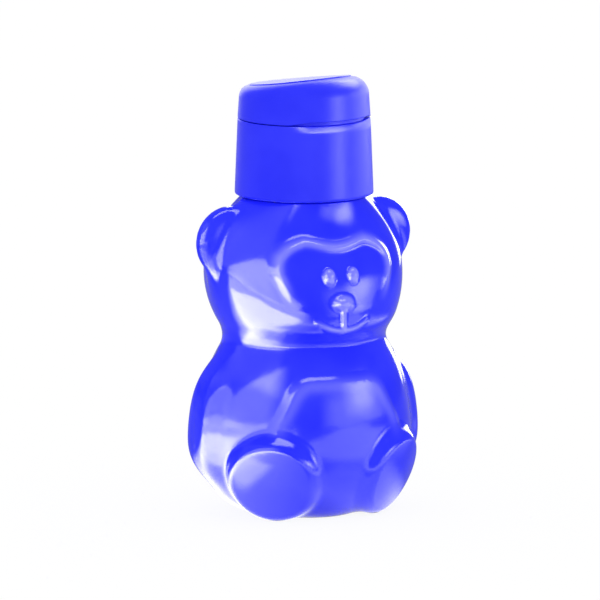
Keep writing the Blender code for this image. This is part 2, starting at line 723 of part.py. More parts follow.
def make_cap_base():
    base = turned("cap_base", cap_profile(), parts, cap_axis)
    scoop = ring_sector("cut_thumb_scoop", RIM_RADIUS - THUMB_SCOOP_DEPTH, SKIRT_BOTTOM_RADIUS + OVERRUN,
                        RIM_Z - THUMB_SCOOP_DROP, RIM_Z + OVERRUN, THUMB_HALF_ANGLE, guides, cap_axis)
    boolean(base, scoop, "DIFFERENCE")
    inner_x = KNUCKLE_WIDTH / 2 + GAP
    outer_x = inner_x + LUG_WIDTH
    for side, word in ((1, "left"), (-1, "right")):
        low, high = sorted((side * inner_x, side * outer_x))
        lug = cross_cylinder(f"form_lug_{word}", KNUCKLE_RADIUS, low, high, PIVOT, guides, cap_axis)
        web = box(f"form_lug_web_{word}", (low, COLLAR_RADIUS, PIVOT.z - LUG_DROP),
                  (high, PIVOT.y + KNUCKLE_RADIUS, RIM_Z - GAP / 2), guides, cap_axis)
        boolean(base, lug, "UNION")
        boolean(base, web, "UNION")
    bore = cross_cylinder("cut_pin_bore", PIN_RADIUS + GAP, -outer_x - OVERRUN, outer_x + OVERRUN, PIVOT,
                          guides, cap_axis)
    boolean(base, bore, "DIFFERENCE")
    return finish_piece(base, make_material("cap_plastic", CAP_BLUE, 0.35))


def make_hinge_pin():
    outer_x = KNUCKLE_WIDTH / 2 + GAP + LUG_WIDTH
    half = outer_x - GAP
    pin = cross_cylinder("hinge_pin", PIN_RADIUS, -half, half, PIVOT, parts, cap_axis, segments=16)
    return finish_piece(pin, make_material("pin_steel", STEEL, 0.25, 1.0))


def lid_top(y, drop=0.0):
    """Height of the lid's sloping top over a place in depth, less a drop below it."""
    return LID_TOP_Z - LID_SLOPE * y - drop


def lid_ring(turn):
    """A ring of the lid's outside, at an angle around its top fillet; None is its lower edge."""
    ring = []
    for index in range(TURNED_STEPS):
        angle = 2 * math.pi * index / TURNED_STEPS
        fillet = LID_FILLET - LID_FILLET_SWELL * math.sin(angle)
        height = LID_BOTTOM_Z
        pull = 0.0
        if turn is not None:
            height = lid_top(LID_RADIUS * math.sin(angle), fillet * (1.0 - math.sin(turn)))
            pull = fillet * (1.0 - math.cos(turn))
        radius = LID_RADIUS - LID_DRAFT * (height - LID_BOTTOM_Z) - pull
        ring.append((radius * math.cos(angle), radius * math.sin(angle), height))
    return ring


def make_flip_lid():
    rings = [lid_ring(None)]
    rings += [lid_ring(math.radians(degrees)) for degrees in (0, 22, 45, 68, 90)]
    lid = loft("flip_lid", rings, parts, lid_pivot, close_bottom=False)
    shell = lid.modifiers.new("wall", "SOLIDIFY")
    shell.thickness = LID_WALL
    shell.offset = -1.0
    shell.use_even_offset = True
    lip = ring_sector("cut_thumb_lip", LID_RADIUS - 2 * LID_WALL, LID_RADIUS + OVERRUN,
                      LID_BOTTOM_Z - OVERRUN, LID_BOTTOM_Z + THUMB_LIP_RISE, THUMB_HALF_ANGLE, guides,
                      lid_pivot)
    boolean(lid, lip, "DIFFERENCE")
    half = KNUCKLE_WIDTH / 2
    knuckle = cross_cylinder("form_knuckle", KNUCKLE_RADIUS, -half, half, PIVOT, guides, lid_pivot)
    web = box("form_knuckle_web", (-half, LID_RADIUS - LID_WALL / 2, RIM_Z + 2 * GAP),
              (half, PIVOT.y, PIVOT.z + KNUCKLE_RADIUS), guides, lid_pivot)
    bore = cross_cylinder("cut_knuckle_bore", PIN_RADIUS + GAP, -half - OVERRUN, half + OVERRUN, PIVOT,
                          guides, lid_pivot)
    boolean(lid, knuckle, "UNION")
    boolean(lid, web, "UNION")
    boolean(lid, bore, "DIFFERENCE")
    boolean(lid, plug_socket(), "UNION")
    return finish_piece(lid, make_material("lid_plastic", CAP_BLUE, 0.35), 30.0)


def plug_socket():
    """The ring under the lid's top that holds the plug's stem; its upper end follows the slope."""
    inner = PLUG_STEM_RADIUS + GAP
    outer = inner + SOCKET_WALL
    bottom = SPOUT_TOP_Z + GAP + PLUG_FLANGE_THICKNESS + GAP
    mesh = bpy.data.meshes.new("form_socket")
    bm = bmesh.new()
    corners = [(inner, False), (outer, False), (outer, True), (inner, True)]
    steps = TURNED_STEPS // 2
    sections = []
    for index in range(steps):
        angle = 2 * math.pi * index / steps
        section_verts = []
        for radius, upper in corners:
            y = radius * math.sin(angle)
            height = lid_top(y, LID_WALL / 2) if upper else bottom
            section_verts.append(bm.verts.new((radius * math.cos(angle), y, height)))
        sections.append(section_verts)
    for index, near in enumerate(sections):
        far = sections[(index + 1) % steps]
        for corner in range(4):
            after = (corner + 1) % 4
            bm.faces.new((near[corner], near[after], far[after], far[corner]))
    bmesh.ops.recalc_face_normals(bm, faces=bm.faces)
    bm.to_mesh(mesh)
    bm.free()
    return add_object("form_socket", mesh, guides, lid_pivot)


def make_spout_plug():
    tip_z = SPOUT_TOP_Z - PLUG_DEPTH
    seat_z = SPOUT_TOP_Z + GAP
    flange_z = seat_z + PLUG_FLANGE_THICKNESS
    stem_z = lid_top(PLUG_STEM_RADIUS, LID_WALL) - GAP
    flange = SPOUT_RADIUS + PLUG_FLANGE_OVERHANG
    shank = SPOUT_BORE_RADIUS - GAP
    profile = [(0.0, stem_z), (PLUG_STEM_RADIUS, stem_z), (PLUG_STEM_RADIUS, flange_z),
               (flange - GAP, flange_z), (flange, flange_z - GAP), (flange, seat_z), (shank, seat_z),
               (shank - PLUG_TAPER, tip_z + GAP), (shank - PLUG_TAPER - GAP, tip_z), (0.0, tip_z)]
    plug = turned("spout_plug", profile, parts, lid_pivot, steps=TURNED_STEPS // 2, closed=False)
    return finish_piece(plug, make_material("plug_silicone", SILICONE, 0.5))


clear_scene()
parts = new_collection("bear_bottle")
guides = new_collection("guides")

# The cap turns about the bottle's axis, and the lid about its hinge at the back of the cap
cap_axis = bpy.data.objects.new("cap_axis", None)
cap_axis.rotation_euler = (0.0, 0.0, CAP_STOP_ANGLE)
guides.objects.link(cap_axis)
lid_pivot = bpy.data.objects.new("lid_pivot", None)
lid_pivot.parent = cap_axis
lid_pivot.location = PIVOT
guides.objects.link(lid_pivot)

make_bottle_shell()
make_neck_seal()
make_cap_base()
make_hinge_pin()
make_flip_lid()
make_spout_plug()
bpy.context.view_layer.update()
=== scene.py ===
import json
import math

import bmesh
import bpy
import numpy as np
from mathutils import Matrix, Vector


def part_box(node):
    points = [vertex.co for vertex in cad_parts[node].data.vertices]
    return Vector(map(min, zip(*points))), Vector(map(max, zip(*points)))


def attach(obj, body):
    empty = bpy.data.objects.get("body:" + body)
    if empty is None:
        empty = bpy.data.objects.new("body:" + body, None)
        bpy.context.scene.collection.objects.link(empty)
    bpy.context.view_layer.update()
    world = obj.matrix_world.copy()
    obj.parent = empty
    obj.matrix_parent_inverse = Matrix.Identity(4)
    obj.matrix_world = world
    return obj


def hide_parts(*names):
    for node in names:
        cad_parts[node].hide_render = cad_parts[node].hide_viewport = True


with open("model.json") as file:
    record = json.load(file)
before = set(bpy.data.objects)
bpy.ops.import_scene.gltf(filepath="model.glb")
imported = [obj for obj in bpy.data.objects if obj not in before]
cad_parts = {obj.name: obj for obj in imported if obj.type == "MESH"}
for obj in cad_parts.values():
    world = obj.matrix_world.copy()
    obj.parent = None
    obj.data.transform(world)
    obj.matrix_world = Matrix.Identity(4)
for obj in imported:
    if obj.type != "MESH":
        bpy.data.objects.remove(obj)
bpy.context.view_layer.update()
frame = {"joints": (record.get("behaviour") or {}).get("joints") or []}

MM = 0.001


# The bear: one blow-moulded shell of glossy blue plastic, from the flat base up to the neck with its
# thread. Body, waist and head are one turned-looking form that is flatter from front to back, and the
# mould adds ears, arms, feet, a raised face and a raised tummy, all run together with soft creases.

BASE_HALF_WIDTH = 14.5 * MM
BASE_HALF_DEPTH = 17.0 * MM
BODY_MID_Z = 26.0 * MM
BODY_HALF_WIDTH = 38.5 * MM
BODY_FRONT = 31.0 * MM
BODY_BACK = 33.0 * MM
WAIST_Z = 62.3 * MM
WAIST_HALF_WIDTH = 29.0 * MM
WAIST_FRONT = 25.6 * MM
WAIST_BACK = 25.4 * MM
WAIST_FILLET = 1.8 * MM
HEAD_MID_Z = 84.5 * MM
HEAD_HALF_WIDTH = 35.1 * MM
HEAD_BACK = 33.0 * MM
MUZZLE_Z = 70.0 * MM
MUZZLE_FRONT = 31.4 * MM
SHOULDER_Z = 110.1 * MM
SHOULDER_RADIUS = 21.6 * MM
WALL = 1.4 * MM
TINY = 1e-6 * MM
SLOPE_STEP = 0.3 * MM


def smooth_larger(first, second, fillet):
    """The larger of two values, with their crease filled by up to the fillet."""
    spread = 4 * fillet
    overlap = np.maximum(spread - np.abs(first - second), 0.0)
    return np.maximum(first, second) + overlap ** 2 / (4 * spread)


def joined(first, second, fillet):
    """The distance to two forms run together: the smaller, with a filled crease."""
    return -smooth_larger(-first, -second, fillet)


def smooth_step(share):
    """From 0 to 1 as the share goes from 0 to 1: 3 s^2 - 2 s^3."""
    share = np.clip(share, 0.0, 1.0)
    return share * share * (3 - 2 * share)


def arc(z, middle_z, middle, crossing):
    """An elliptical arc in height that is widest at its middle and passes through the waist."""
    drop = (WAIST_Z - middle_z) / math.sqrt(1.0 - (crossing / middle) ** 2)
    return middle * np.sqrt(np.maximum(1.0 - ((z - middle_z) / drop) ** 2, 0.0))


def dome(share):
    """From 1 at the head's middle to 0 at the round shoulder, as 1 - s^2."""
    return 1.0 - share ** 2


def brow(share):
    """From 1 at the muzzle up the face to 0 at the shoulder, as half a cosine wave."""
    return (1.0 + np.cos(math.pi * share)) / 2


def reach(z, body, waist, head, head_z, crown):
    """How far the trunk reaches from its axis at a height: the larger of two arcs, then the crown."""
    crossing = waist - WAIST_FILLET
    trunk_reach = smooth_larger(arc(z, BODY_MID_Z, body, crossing), arc(z, head_z, head, crossing),
                                WAIST_FILLET)
    share = np.clip((z - head_z) / (SHOULDER_Z - head_z), 0.0, 1.0)
    top = SHOULDER_RADIUS + (head - SHOULDER_RADIUS) * crown(share)
    return np.where(z < head_z, np.where(z < BODY_MID_Z, body, trunk_reach), top)


def side_reach(z):
    """Half the trunk's width at a height."""
    return reach(z, BODY_HALF_WIDTH, WAIST_HALF_WIDTH, HEAD_HALF_WIDTH, HEAD_MID_Z, dome)


def front_reach(z):
    """The trunk's depth in front of the axis at a height."""
    return reach(z, BODY_FRONT, WAIST_FRONT, MUZZLE_FRONT, MUZZLE_Z, brow)


def back_reach(z):
    """The trunk's depth behind the axis at a height."""
    return reach(z, BODY_BACK, WAIST_BACK, HEAD_BACK, HEAD_MID_Z, dome)


def in_direction(across, deep, side, depth):
    """The radius of an ellipse of half width side and half depth depth, in a unit direction."""
    return 1.0 / np.sqrt((across / side) ** 2 + (deep / depth) ** 2)


def trunk(x, y, z):
    """Signed distance to body, waist and head: half ellipses in front and behind, as wide as each
    other, over a bowl whose outline is a quarter ellipse up from the flat base."""
    radius = np.hypot(x, y) + TINY
    across, deep = (x + TINY) / radius, y / radius
    front = y < 0.0

    def wall_radius(level):
        depth = np.where(front, front_reach(level), back_reach(level))
        return in_direction(across, deep, side_reach(level), depth)

    slope = (wall_radius(z + SLOPE_STEP) - wall_radius(z - SLOPE_STEP)) / (2 * SLOPE_STEP)
    wall = (radius - wall_radius(z)) / np.sqrt(1.0 + slope ** 2)
    base = in_direction(across, deep, BASE_HALF_WIDTH, BASE_HALF_DEPTH)
    middle = in_direction(across, deep, BODY_HALF_WIDTH, np.where(front, BODY_FRONT, BODY_BACK))
    outwards = np.maximum(radius - base, 0.0) / (middle - base)
    bowl = (np.hypot(outwards, (BODY_MID_Z - z) / BODY_MID_Z) - 1.0) * (middle - base)
    return np.where(z < BODY_MID_Z, bowl, wall)


def rounded_disc(radius, height, rim, top, edge):
    """Signed distance to a drum of a rim radius and top level whose upper edge is rounded."""
    beyond, above = radius - (rim - edge), height - (top - edge)
    return (np.hypot(np.maximum(beyond, 0.0), np.maximum(above, 0.0))
            + np.minimum(np.maximum(beyond, above), 0.0) - edge)


FOOT_RADIUS = 15.9 * MM
FOOT_EDGE = 3.0 * MM
FOOT_REACH = 11.4 * MM
FOOT_CROWN = 2.4 * MM
FOOT_ROOT = 4.0 * MM
FOOT_ROOT_FILLET = 0.5 * MM
FOOT_LEAST_RADIUS = 0.001 * MM
FOOT_SPREAD = 18.2 * MM
FOOT_FORWARD = 16.0 * MM
FOOT_RISE = 0.3 * MM
FOOT_SPLAY = math.radians(37.0)
FOOT_TILT = math.radians(21.0)


def foot(x, y, z):
    """Signed distance to a foot: a drum, splayed outwards and tilted down, with a domed sole."""
    axis = (math.sin(FOOT_SPLAY) * math.cos(FOOT_TILT), -math.cos(FOOT_SPLAY) * math.cos(FOOT_TILT),
            -math.sin(FOOT_TILT))
    widest = FOOT_REACH - FOOT_CROWN - FOOT_EDGE
    centre_z = FOOT_RISE + FOOT_RADIUS * math.cos(FOOT_TILT) + widest * math.sin(FOOT_TILT)
    dx, dy, dz = np.abs(x) - FOOT_SPREAD, y + FOOT_FORWARD, z - centre_z
    height = dx * axis[0] + dy * axis[1] + dz * axis[2]
    square = dx * dx + dy * dy + dz * dz - height * height
    radius = np.sqrt(np.maximum(square, FOOT_LEAST_RADIUS ** 2))
    crown = FOOT_CROWN * (radius / FOOT_RADIUS) ** 2
    drum = rounded_disc(radius, height + crown, FOOT_RADIUS, FOOT_REACH, FOOT_EDGE)
    return smooth_larger(drum, -height - FOOT_ROOT, FOOT_ROOT_FILLET)


ARM_HALF_DEPTH = 9.2 * MM
ARM_HALF_LENGTH = 22.3 * MM
ARM_HALF_THICKNESS = 8.5 * MM
ARM_PROUD = 3.795 * MM
ARM_MID_Z = 33.8 * MM
ARM_SETBACK = 0.8 * MM
ARM_FULLNESS = 3.8
ARM_SQUARENESS = 3.0


def arm(x, y, z):
    """Near distance to an arm: a pod whose middle follows the side of the body."""
    level = np.clip((BODY_MID_Z - z) / BODY_MID_Z, 0.0, 1.0)
    bowl = BASE_HALF_WIDTH + (BODY_HALF_WIDTH - BASE_HALF_WIDTH) * np.sqrt(1.0 - level ** 2)
    middle = np.where(z < BODY_MID_Z, bowl, side_reach(z)) - (ARM_HALF_THICKNESS - ARM_PROUD)
    across = (np.abs(x) - middle) / ARM_HALF_THICKNESS
    deep = (y - ARM_SETBACK) / ARM_HALF_DEPTH
    along = np.abs(z - ARM_MID_Z) / ARM_HALF_LENGTH
    girth = (np.abs(across) ** ARM_SQUARENESS + np.abs(deep) ** ARM_SQUARENESS) ** (2 / ARM_SQUARENESS)
    return (np.sqrt(girth + along ** ARM_FULLNESS) - 1.0) * ARM_HALF_THICKNESS


EAR_RADIUS = 12.6 * MM
EAR_HALF_THICKNESS = 4.0 * MM
EAR_SQUARENESS = 3.0
EAR_OUT = 28.0 * MM
EAR_Z = 95.3 * MM
EAR_SETBACK = 0.5 * MM


def ear(x, y, z):
    """Near distance to an ear: a round pillow, |r|^p + |t|^p = 1, with a full edge."""
    radius = np.hypot(np.abs(x) - EAR_OUT, z - EAR_Z) / EAR_RADIUS
    thick = np.abs(y - EAR_SETBACK) / EAR_HALF_THICKNESS
    power = EAR_SQUARENESS
    return ((radius ** power + thick ** power) ** (1 / power) - 1.0) * EAR_HALF_THICKNESS


FRONT_FADE = 10.0 * MM


def in_front(y):
    """From 0 at the axis to 1 a short way in front of it."""
    return smooth_step(-y / FRONT_FADE)


FACE_RAISE = 1.0 * MM
FACE_EDGE = 3.2 * MM
FACE_RIM = 0.7 * MM
FACE_RIM_IN = 1.5 * MM
FACE_RIM_WIDTH = 1.6 * MM
FACE_HALF_WIDTH = 22.5 * MM
FACE_WIDEST_Z = 87.0 * MM
FACE_LOBE_X = 11.8 * MM
FACE_LOBE_Z = 100.3 * MM
FACE_DIP_Z = 96.8 * MM
FACE_DIP_POWER = 1.5
FACE_LOW_Z = 70.0 * MM
FACE_FADE_LOW_Z = 74.5 * MM
FACE_FADE_Z = 87.0 * MM
FACE_LOW_SHARE = 0.72
FACE_LAST_SHARE = 1.5
FACE_SQUARENESS = 8 / 3


def face_inside(x, z):
    """How far a point is inside the face's edge, a curve |x|^2 + |z|^p = 1 with a dip at the top."""
    lobe = FACE_LOBE_Z - FACE_WIDEST_Z
    dip = (FACE_LOBE_Z - FACE_DIP_Z) * np.maximum(1.0 - (x / FACE_LOBE_X) ** 2, 0.0) ** FACE_DIP_POWER
    up = np.maximum(z + dip - FACE_WIDEST_Z, 0.0) / lobe
    down = np.clip((FACE_WIDEST_Z - z) / (FACE_WIDEST_Z - FACE_LOW_Z), 0.0, FACE_LAST_SHARE)
    half = FACE_HALF_WIDTH * (1.0 - (1.0 - FACE_LOW_SHARE) * down)
    bound = np.sqrt((x / half) ** 2 + up ** FACE_SQUARENESS) + TINY
    across = x / half ** 2 / bound
    upwards = FACE_SQUARENESS / 2 * up ** (FACE_SQUARENESS - 1.0) / lobe / bound
    return (1.0 - bound) / np.maximum(np.hypot(across, upwards), 1.0 / FACE_HALF_WIDTH)


def face_fade(z):
    """From 0 above the muzzle to 1 higher up the face."""
    return smooth_step((z - FACE_FADE_LOW_Z) / (FACE_FADE_Z - FACE_FADE_LOW_Z))


def face_rim(x, y, z):
    """From 0 to 1 on a round rim just inside the face's edge, which fades out above the muzzle."""
    rim = np.exp(-((face_inside(x, z) - FACE_RIM_IN) / FACE_RIM_WIDTH) ** 2)
    return rim * face_fade(z) * in_front(y)


def face_raise(x, y, z):
    """The heart-topped face: a raised plateau with a soft edge and a rim, which fades out downwards."""
    plateau = smooth_step(face_inside(x, z) / FACE_EDGE + 0.5) * face_fade(z) * in_front(y)
    return FACE_RAISE * plateau + FACE_RIM * face_rim(x, y, z)


TUMMY_RAISE = 0.9 * MM
TUMMY_EDGE = 3.0 * MM
TUMMY_TOP_Z = 50.3 * MM
TUMMY_TOP_HALF_WIDTH = 19.0 * MM
TUMMY_HALF_WIDTH = 24.5 * MM
TUMMY_WIDEST_Z = 31.0 * MM
TUMMY_CORNER = 9.0 * MM
TUMMY_LOW_Z = 4.0 * MM
TUMMY_FADE = 12.0 * MM
TUMMY_OVERLAP = 4.0 * MM


def tummy_outside(x, z):
    """How far a point is outside the tummy, a round-cornered panel that widens downwards."""
    start = TUMMY_TOP_Z - TUMMY_CORNER + TUMMY_OVERLAP
    wider = smooth_step((start - z) / (start - TUMMY_WIDEST_Z))
    half = TUMMY_TOP_HALF_WIDTH + (TUMMY_HALF_WIDTH - TUMMY_TOP_HALF_WIDTH) * wider
    return rounded_disc(np.abs(x), z, half, TUMMY_TOP_Z, TUMMY_CORNER)


def tummy_raise(x, y, z):
    """The tummy: a raised panel with a soft edge, which fades out towards the ground."""
    fade = smooth_step((z - TUMMY_LOW_Z) / TUMMY_FADE)
    return TUMMY_RAISE * smooth_step(0.5 - tummy_outside(x, z) / TUMMY_EDGE) * fade * in_front(y)


EYE_X = 4.5 * MM
EYE_Z = 85.5 * MM
EYE_RADII = (2.3 * MM, 2.0 * MM, 3.05 * MM)
EYE_PROUD = FACE_RAISE - 0.3 * MM
NOSE_Z = 76.6 * MM
NOSE_RADII = (4.0 * MM, 4.0 * MM, 2.7 * MM)
NOSE_PROUD = 2.4 * MM
MOUTH_Z = 66.9 * MM
MOUTH_HALF_SPAN = 9.3 * MM
MOUTH_RISE = 3.2 * MM
BEAD_RADIUS = 0.85 * MM
BEAD_PROUD = 0.15 * MM
FEATURE_FILLETS = (0.2 * MM, 0.35 * MM, 0.3 * MM, 0.3 * MM)
FAR_OFF = 1.0


def egg(x, y, z, centre, radii):
    """Near distance to an ellipsoid."""
    offsets = [(value - middle) / half for value, middle, half in zip((x, y, z), centre, radii)]
    return (np.sqrt(offsets[0] ** 2 + offsets[1] ** 2 + offsets[2] ** 2) - 1.0) * min(radii)


def front_y(x, z, proud):
    """The depth of the trunk's front, plus how proud a feature stands of it."""
    return float(-front_reach(z) * math.sqrt(1.0 - (x / side_reach(z)) ** 2) - proud)


def bead(offset, skin):
    """Near distance to a round bead laid on the skin, at an offset from its line."""
    return np.hypot(offset, skin - BEAD_PROUD) - BEAD_RADIUS


def features(x, y, z, skin):
    """Eyes, nose, the line below it and the smile, run on to the front of the skin."""
    eye_y = front_y(EYE_X, EYE_Z, EYE_PROUD)
    eye = egg(np.abs(x), y, z, (EYE_X, eye_y, EYE_Z), EYE_RADII)
    nose_y = front_y(0.0, NOSE_Z, NOSE_PROUD - NOSE_RADII[1])
    nose = egg(x, y, z, (0.0, nose_y, NOSE_Z), NOSE_RADII)
    from_middle = np.abs(z - (NOSE_Z + MOUTH_Z) / 2)
    line = bead(np.hypot(x, np.maximum(from_middle - (NOSE_Z - MOUTH_Z) / 2, 0.0)), skin)
    curve = np.clip(x / MOUTH_HALF_SPAN, -1.0, 1.0)
    steep = 2 * MOUTH_RISE / MOUTH_HALF_SPAN * curve
    past = np.maximum(np.abs(x) - MOUTH_HALF_SPAN, 0.0)
    rise = (z - MOUTH_Z - MOUTH_RISE * curve ** 2) / np.sqrt(1.0 + steep ** 2)
    smile = bead(np.hypot(rise, past), skin + BEAD_RADIUS * curve ** 4)
    behind = np.where(y < 0.0, 0.0, FAR_OFF)
    for feature, fillet in zip((eye, nose, line, smile), FEATURE_FILLETS):
        skin = joined(skin, feature + behind, fillet)
    return skin


LIMB_FILLETS = ((ear, 0.8 * MM), (arm, 0.9 * MM), (foot, 0.7 * MM))


def bear(x, y, z):
    """Signed distance to the outside of the bear; nothing reaches below the ground."""
    skin = trunk(x, y, z) - face_raise(x, y, z) - tummy_raise(x, y, z)
    skin = features(x, y, z, skin)
    for limb, fillet in LIMB_FILLETS:
        skin = joined(skin, limb(x, y, z), fillet)
    return np.maximum(skin, -z)


def cavity(x, y, z):
    """Signed distance to the air inside: the plain forms, less the wall, with outward as inside."""
    skin = trunk(x, y, z)
    for limb, fillet in LIMB_FILLETS:
        skin = joined(skin, limb(x, y, z), 2 * fillet)
    return -(skin + WALL)


# Painted highlight: the values below place paler colour, as if lit, on what stands proud of the face
# and inside the tummy's upper edge.
PAINTED_HIGHLIGHT_PROUD = 1.2 * MM
PAINTED_HIGHLIGHT_HALF_WIDTH = 13.0 * MM
PAINTED_HIGHLIGHT_TOP_Z = 92.0 * MM
PAINTED_HIGHLIGHT_TUMMY_IN = 2.6 * MM
PAINTED_HIGHLIGHT_TUMMY_WIDTH = 2.2 * MM
PAINTED_HIGHLIGHT_TUMMY_SHARE = 0.5


def painted_highlight_share(x, y, z):
    """A painted highlight, from 0 to 1: where the colour is painted paler, on the face's rim and
    features, and more faintly inside the tummy's upper edge."""
    proud = smooth_step((trunk(x, y, z) - face_raise(x, y, z)) / PAINTED_HIGHLIGHT_PROUD)
    proud = proud * (np.abs(x) < PAINTED_HIGHLIGHT_HALF_WIDTH) * (y < 0.0) * (z > WAIST_Z) * (z < PAINTED_HIGHLIGHT_TOP_Z)
    edge = np.exp(-((tummy_outside(x, z) + PAINTED_HIGHLIGHT_TUMMY_IN) / PAINTED_HIGHLIGHT_TUMMY_WIDTH) ** 2)
    edge = edge * smooth_step((z - BODY_MID_Z) / BODY_MID_Z * 2) * in_front(y)
    return np.maximum(np.maximum(face_rim(x, y, z), proud), PAINTED_HIGHLIGHT_TUMMY_SHARE * edge)


GRADIENT_STEP = 0.04 * MM
SETTLE_ROUNDS = 5
SETTLE_LIMIT = 0.4 * MM
LEAST_SLOPE_SQUARED = 0.2
LEAST_GAP = 0.3


def gradient(distance, points):
    """Slope of a distance at points, by central differences."""
    slopes = []
    for axis in np.eye(3) * GRADIENT_STEP:
        ahead, behind = points + axis, points - axis
        slopes.append((distance(*ahead.T) - distance(*behind.T)) / (2 * GRADIENT_STEP))
    return np.stack(slopes, axis=1)


def surface_net(distance, axes):
    """A mesh of where a distance is zero, on a grid of three axes: a point in each crossed cell, at the
    mean of the crossings of its edges, a face across each crossed edge, and every point then drawn on
    to the surface along the slope of the distance."""
    spread = np.meshgrid(*axes, indexing="ij", sparse=True)
    value = distance(*spread)
    inside = value < 0.0
    cells = tuple(size - 1 for size in value.shape)
    total = np.zeros(cells + (3,))
    count = np.zeros(cells)
    crossings = []
    for axis in range(3):
        near, far = [slice(None)] * 3, [slice(None)] * 3
        near[axis], far[axis] = slice(0, -1), slice(1, None)
        near, far = tuple(near), tuple(far)
        crossed = inside[near] != inside[far]
        drop = np.where(crossed, value[near] - value[far], 1.0)
        share = np.where(crossed, value[near] / drop, 0.0)
        crossings.append((crossed, inside[near]))
        places = list(spread)
        places[axis] = spread[axis][near] + share * (spread[axis][far] - spread[axis][near])
        first, second = (axis + 1) % 3, (axis + 2) % 3
        for one, two in ((0, 0), (0, 1), (1, 0), (1, 1)):
            window = [slice(None)] * 3
            window[first] = slice(one, cells[first] + one)
            window[second] = slice(two, cells[second] + two)
            hit = crossed[tuple(window)]
            count += hit
            for other, place in enumerate(places):
                total[..., other] += np.broadcast_to(place, crossed.shape)[tuple(window)] * hit
    used = count > 0
    number = np.full(cells, -1)
    number[used] = np.arange(used.sum())
    points = total[used] / count[used][:, None]
    faces = []
    for axis in range(3):
        order = (axis, (axis + 1) % 3, (axis + 2) % 3)
        crossed, low_inside = (np.transpose(side, order) for side in crossings[axis])
        table = np.transpose(number, order)
        i, j, k = np.nonzero(crossed[:, 1:-1, 1:-1])
        quads = np.stack([table[i, j, k], table[i, j + 1, k],
                          table[i, j + 1, k + 1], table[i, j, k + 1]], axis=1)
        backwards = ~low_inside[i, j + 1, k + 1]
        quads[backwards] = quads[backwards][:, ::-1]
        faces.append(quads)
    for _ in range(SETTLE_ROUNDS):
        slope = gradient(distance, points)
        steep = np.maximum((slope ** 2).sum(1), LEAST_SLOPE_SQUARED)
        move = distance(*points.T)[:, None] * slope / steep[:, None]
        points = points - np.clip(move, -SETTLE_LIMIT, SETTLE_LIMIT)
    return points, np.concatenate(faces)


def stretches(*stops):
    """Grid lines through stops of (place, spacing after it) in mm, none too close to the next."""
    lines = [np.arange(low, high - LEAST_GAP * gap, gap)
             for (low, gap), (high, _) in zip(stops, stops[1:])]
    return np.append(np.concatenate(lines), stops[-1][0]) * MM


def mirrored(*stops):
    """Grid lines on both sides of the middle."""
    half = stretches(*stops)
    return np.concatenate([-half[:0:-1], half])


SKIN_GRID = (mirrored((0.0, 0.6), (26.0, 0.8), (46.0, 1.0), (47.0, 1.0)),
             stretches((-35.0, 0.7), (-18.0, 1.0), (34.5, 1.0), (35.5, 1.0)),
             stretches((-0.9, 0.85), (34.0, 1.1), (60.0, 0.6), (104.0, 0.9), (SHOULDER_Z / MM, 1.0)))
CAVITY_GRID = (mirrored((0.0, 2.4), (48.0, 1.0)), stretches((-36.0, 2.4), (36.0, 1.0)),
               stretches((-1.0, 2.4), (SHOULDER_Z / MM, 1.0)))


def grid_faces(rows, columns, wrap_rows=False):
    """Quads over a grid whose columns close into a ring, and whose rows may close as well."""
    row = np.arange(rows if wrap_rows else rows - 1)[:, None]
    column = np.arange(columns)[None, :]
    after, up = (column + 1) % columns, (row + 1) % rows
    corners = [row * columns + column, row * columns + after,
               up * columns + after, up * columns + column]
    return np.stack(corners, axis=2).reshape(-1, 4)


def rounded(corners, steps=4):
    """A profile of (radius, height, cut) corners; each corner with a cut is a smooth arc that begins
    and ends that far from it: (1 - t)^2 start + 2 t (1 - t) corner + t^2 end."""
    points = []
    for index, (radius, height, cut) in enumerate(corners):
        here = np.array([radius, height])
        if cut == 0.0:
            points.append(here)
            continue
        ends = []
        for other in (corners[index - 1], corners[(index + 1) % len(corners)]):
            way = np.array(other[:2]) - here
            ends.append(here + way / np.hypot(*way) * cut)
        for share in np.linspace(0.0, 1.0, steps + 1):
            points.append((1 - share) ** 2 * ends[0] + 2 * share * (1 - share) * here
                          + share ** 2 * ends[1])
    return np.array(points)


def ring_angles(steps):
    """Angles at equal steps once round."""
    return np.arange(steps) * 2 * math.pi / steps


def all_round(profile, angle):
    """The radius and the height of a profile, each repeated at every angle."""
    return profile[:, :1] + 0 * angle, profile[:, 1:] + 0 * angle


def round_rows(radius, angle, height):
    """Rows of points round the bottle's axis: radius cos a, radius sin a and height."""
    return np.stack([radius * np.cos(angle), radius * np.sin(angle), height], axis=2)


NECK_RADIUS = 20.0 * MM
NECK_WALL = 1.6 * MM
NECK_TOP_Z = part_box("bottle_shell")[1].z
NECK_RIM_CUT = 0.6 * MM
NECK_FOOT_CUT = 0.4 * MM
NECK_ROW_GAP = 0.36 * MM
NECK_STEPS = 160
CLOSE = 0.01 * MM
THREAD_LEAD = 8.0 * MM
THREAD_STARTS = 2
THREAD_RISE = 1.05 * MM
THREAD_WIDTH = 1.7 * MM
THREAD_FLANK = 0.45 * MM
THREAD_MARGIN = 1.0 * MM
THREAD_BOTTOM = SHOULDER_Z + 4.6 * MM
THREAD_TOP = NECK_TOP_Z - 2.6 * MM


def thread(angle, height, bottom, top, offset=0.0):
    """How far a thread stands out, from 0 to 1: helical ridges that fade in and out over their first
    and last 30 degrees."""
    pitch = THREAD_LEAD / THREAD_STARTS
    place = (height - THREAD_LEAD * angle / (2 * math.pi)) / pitch + offset
    from_ridge = np.abs(place - np.round(place)) * pitch
    ridge = smooth_step((THREAD_WIDTH / 2 - from_ridge) / THREAD_FLANK + 0.5)
    fade = THREAD_LEAD / 12
    return ridge * smooth_step((height - bottom) / fade) * smooth_step((top - height) / fade)


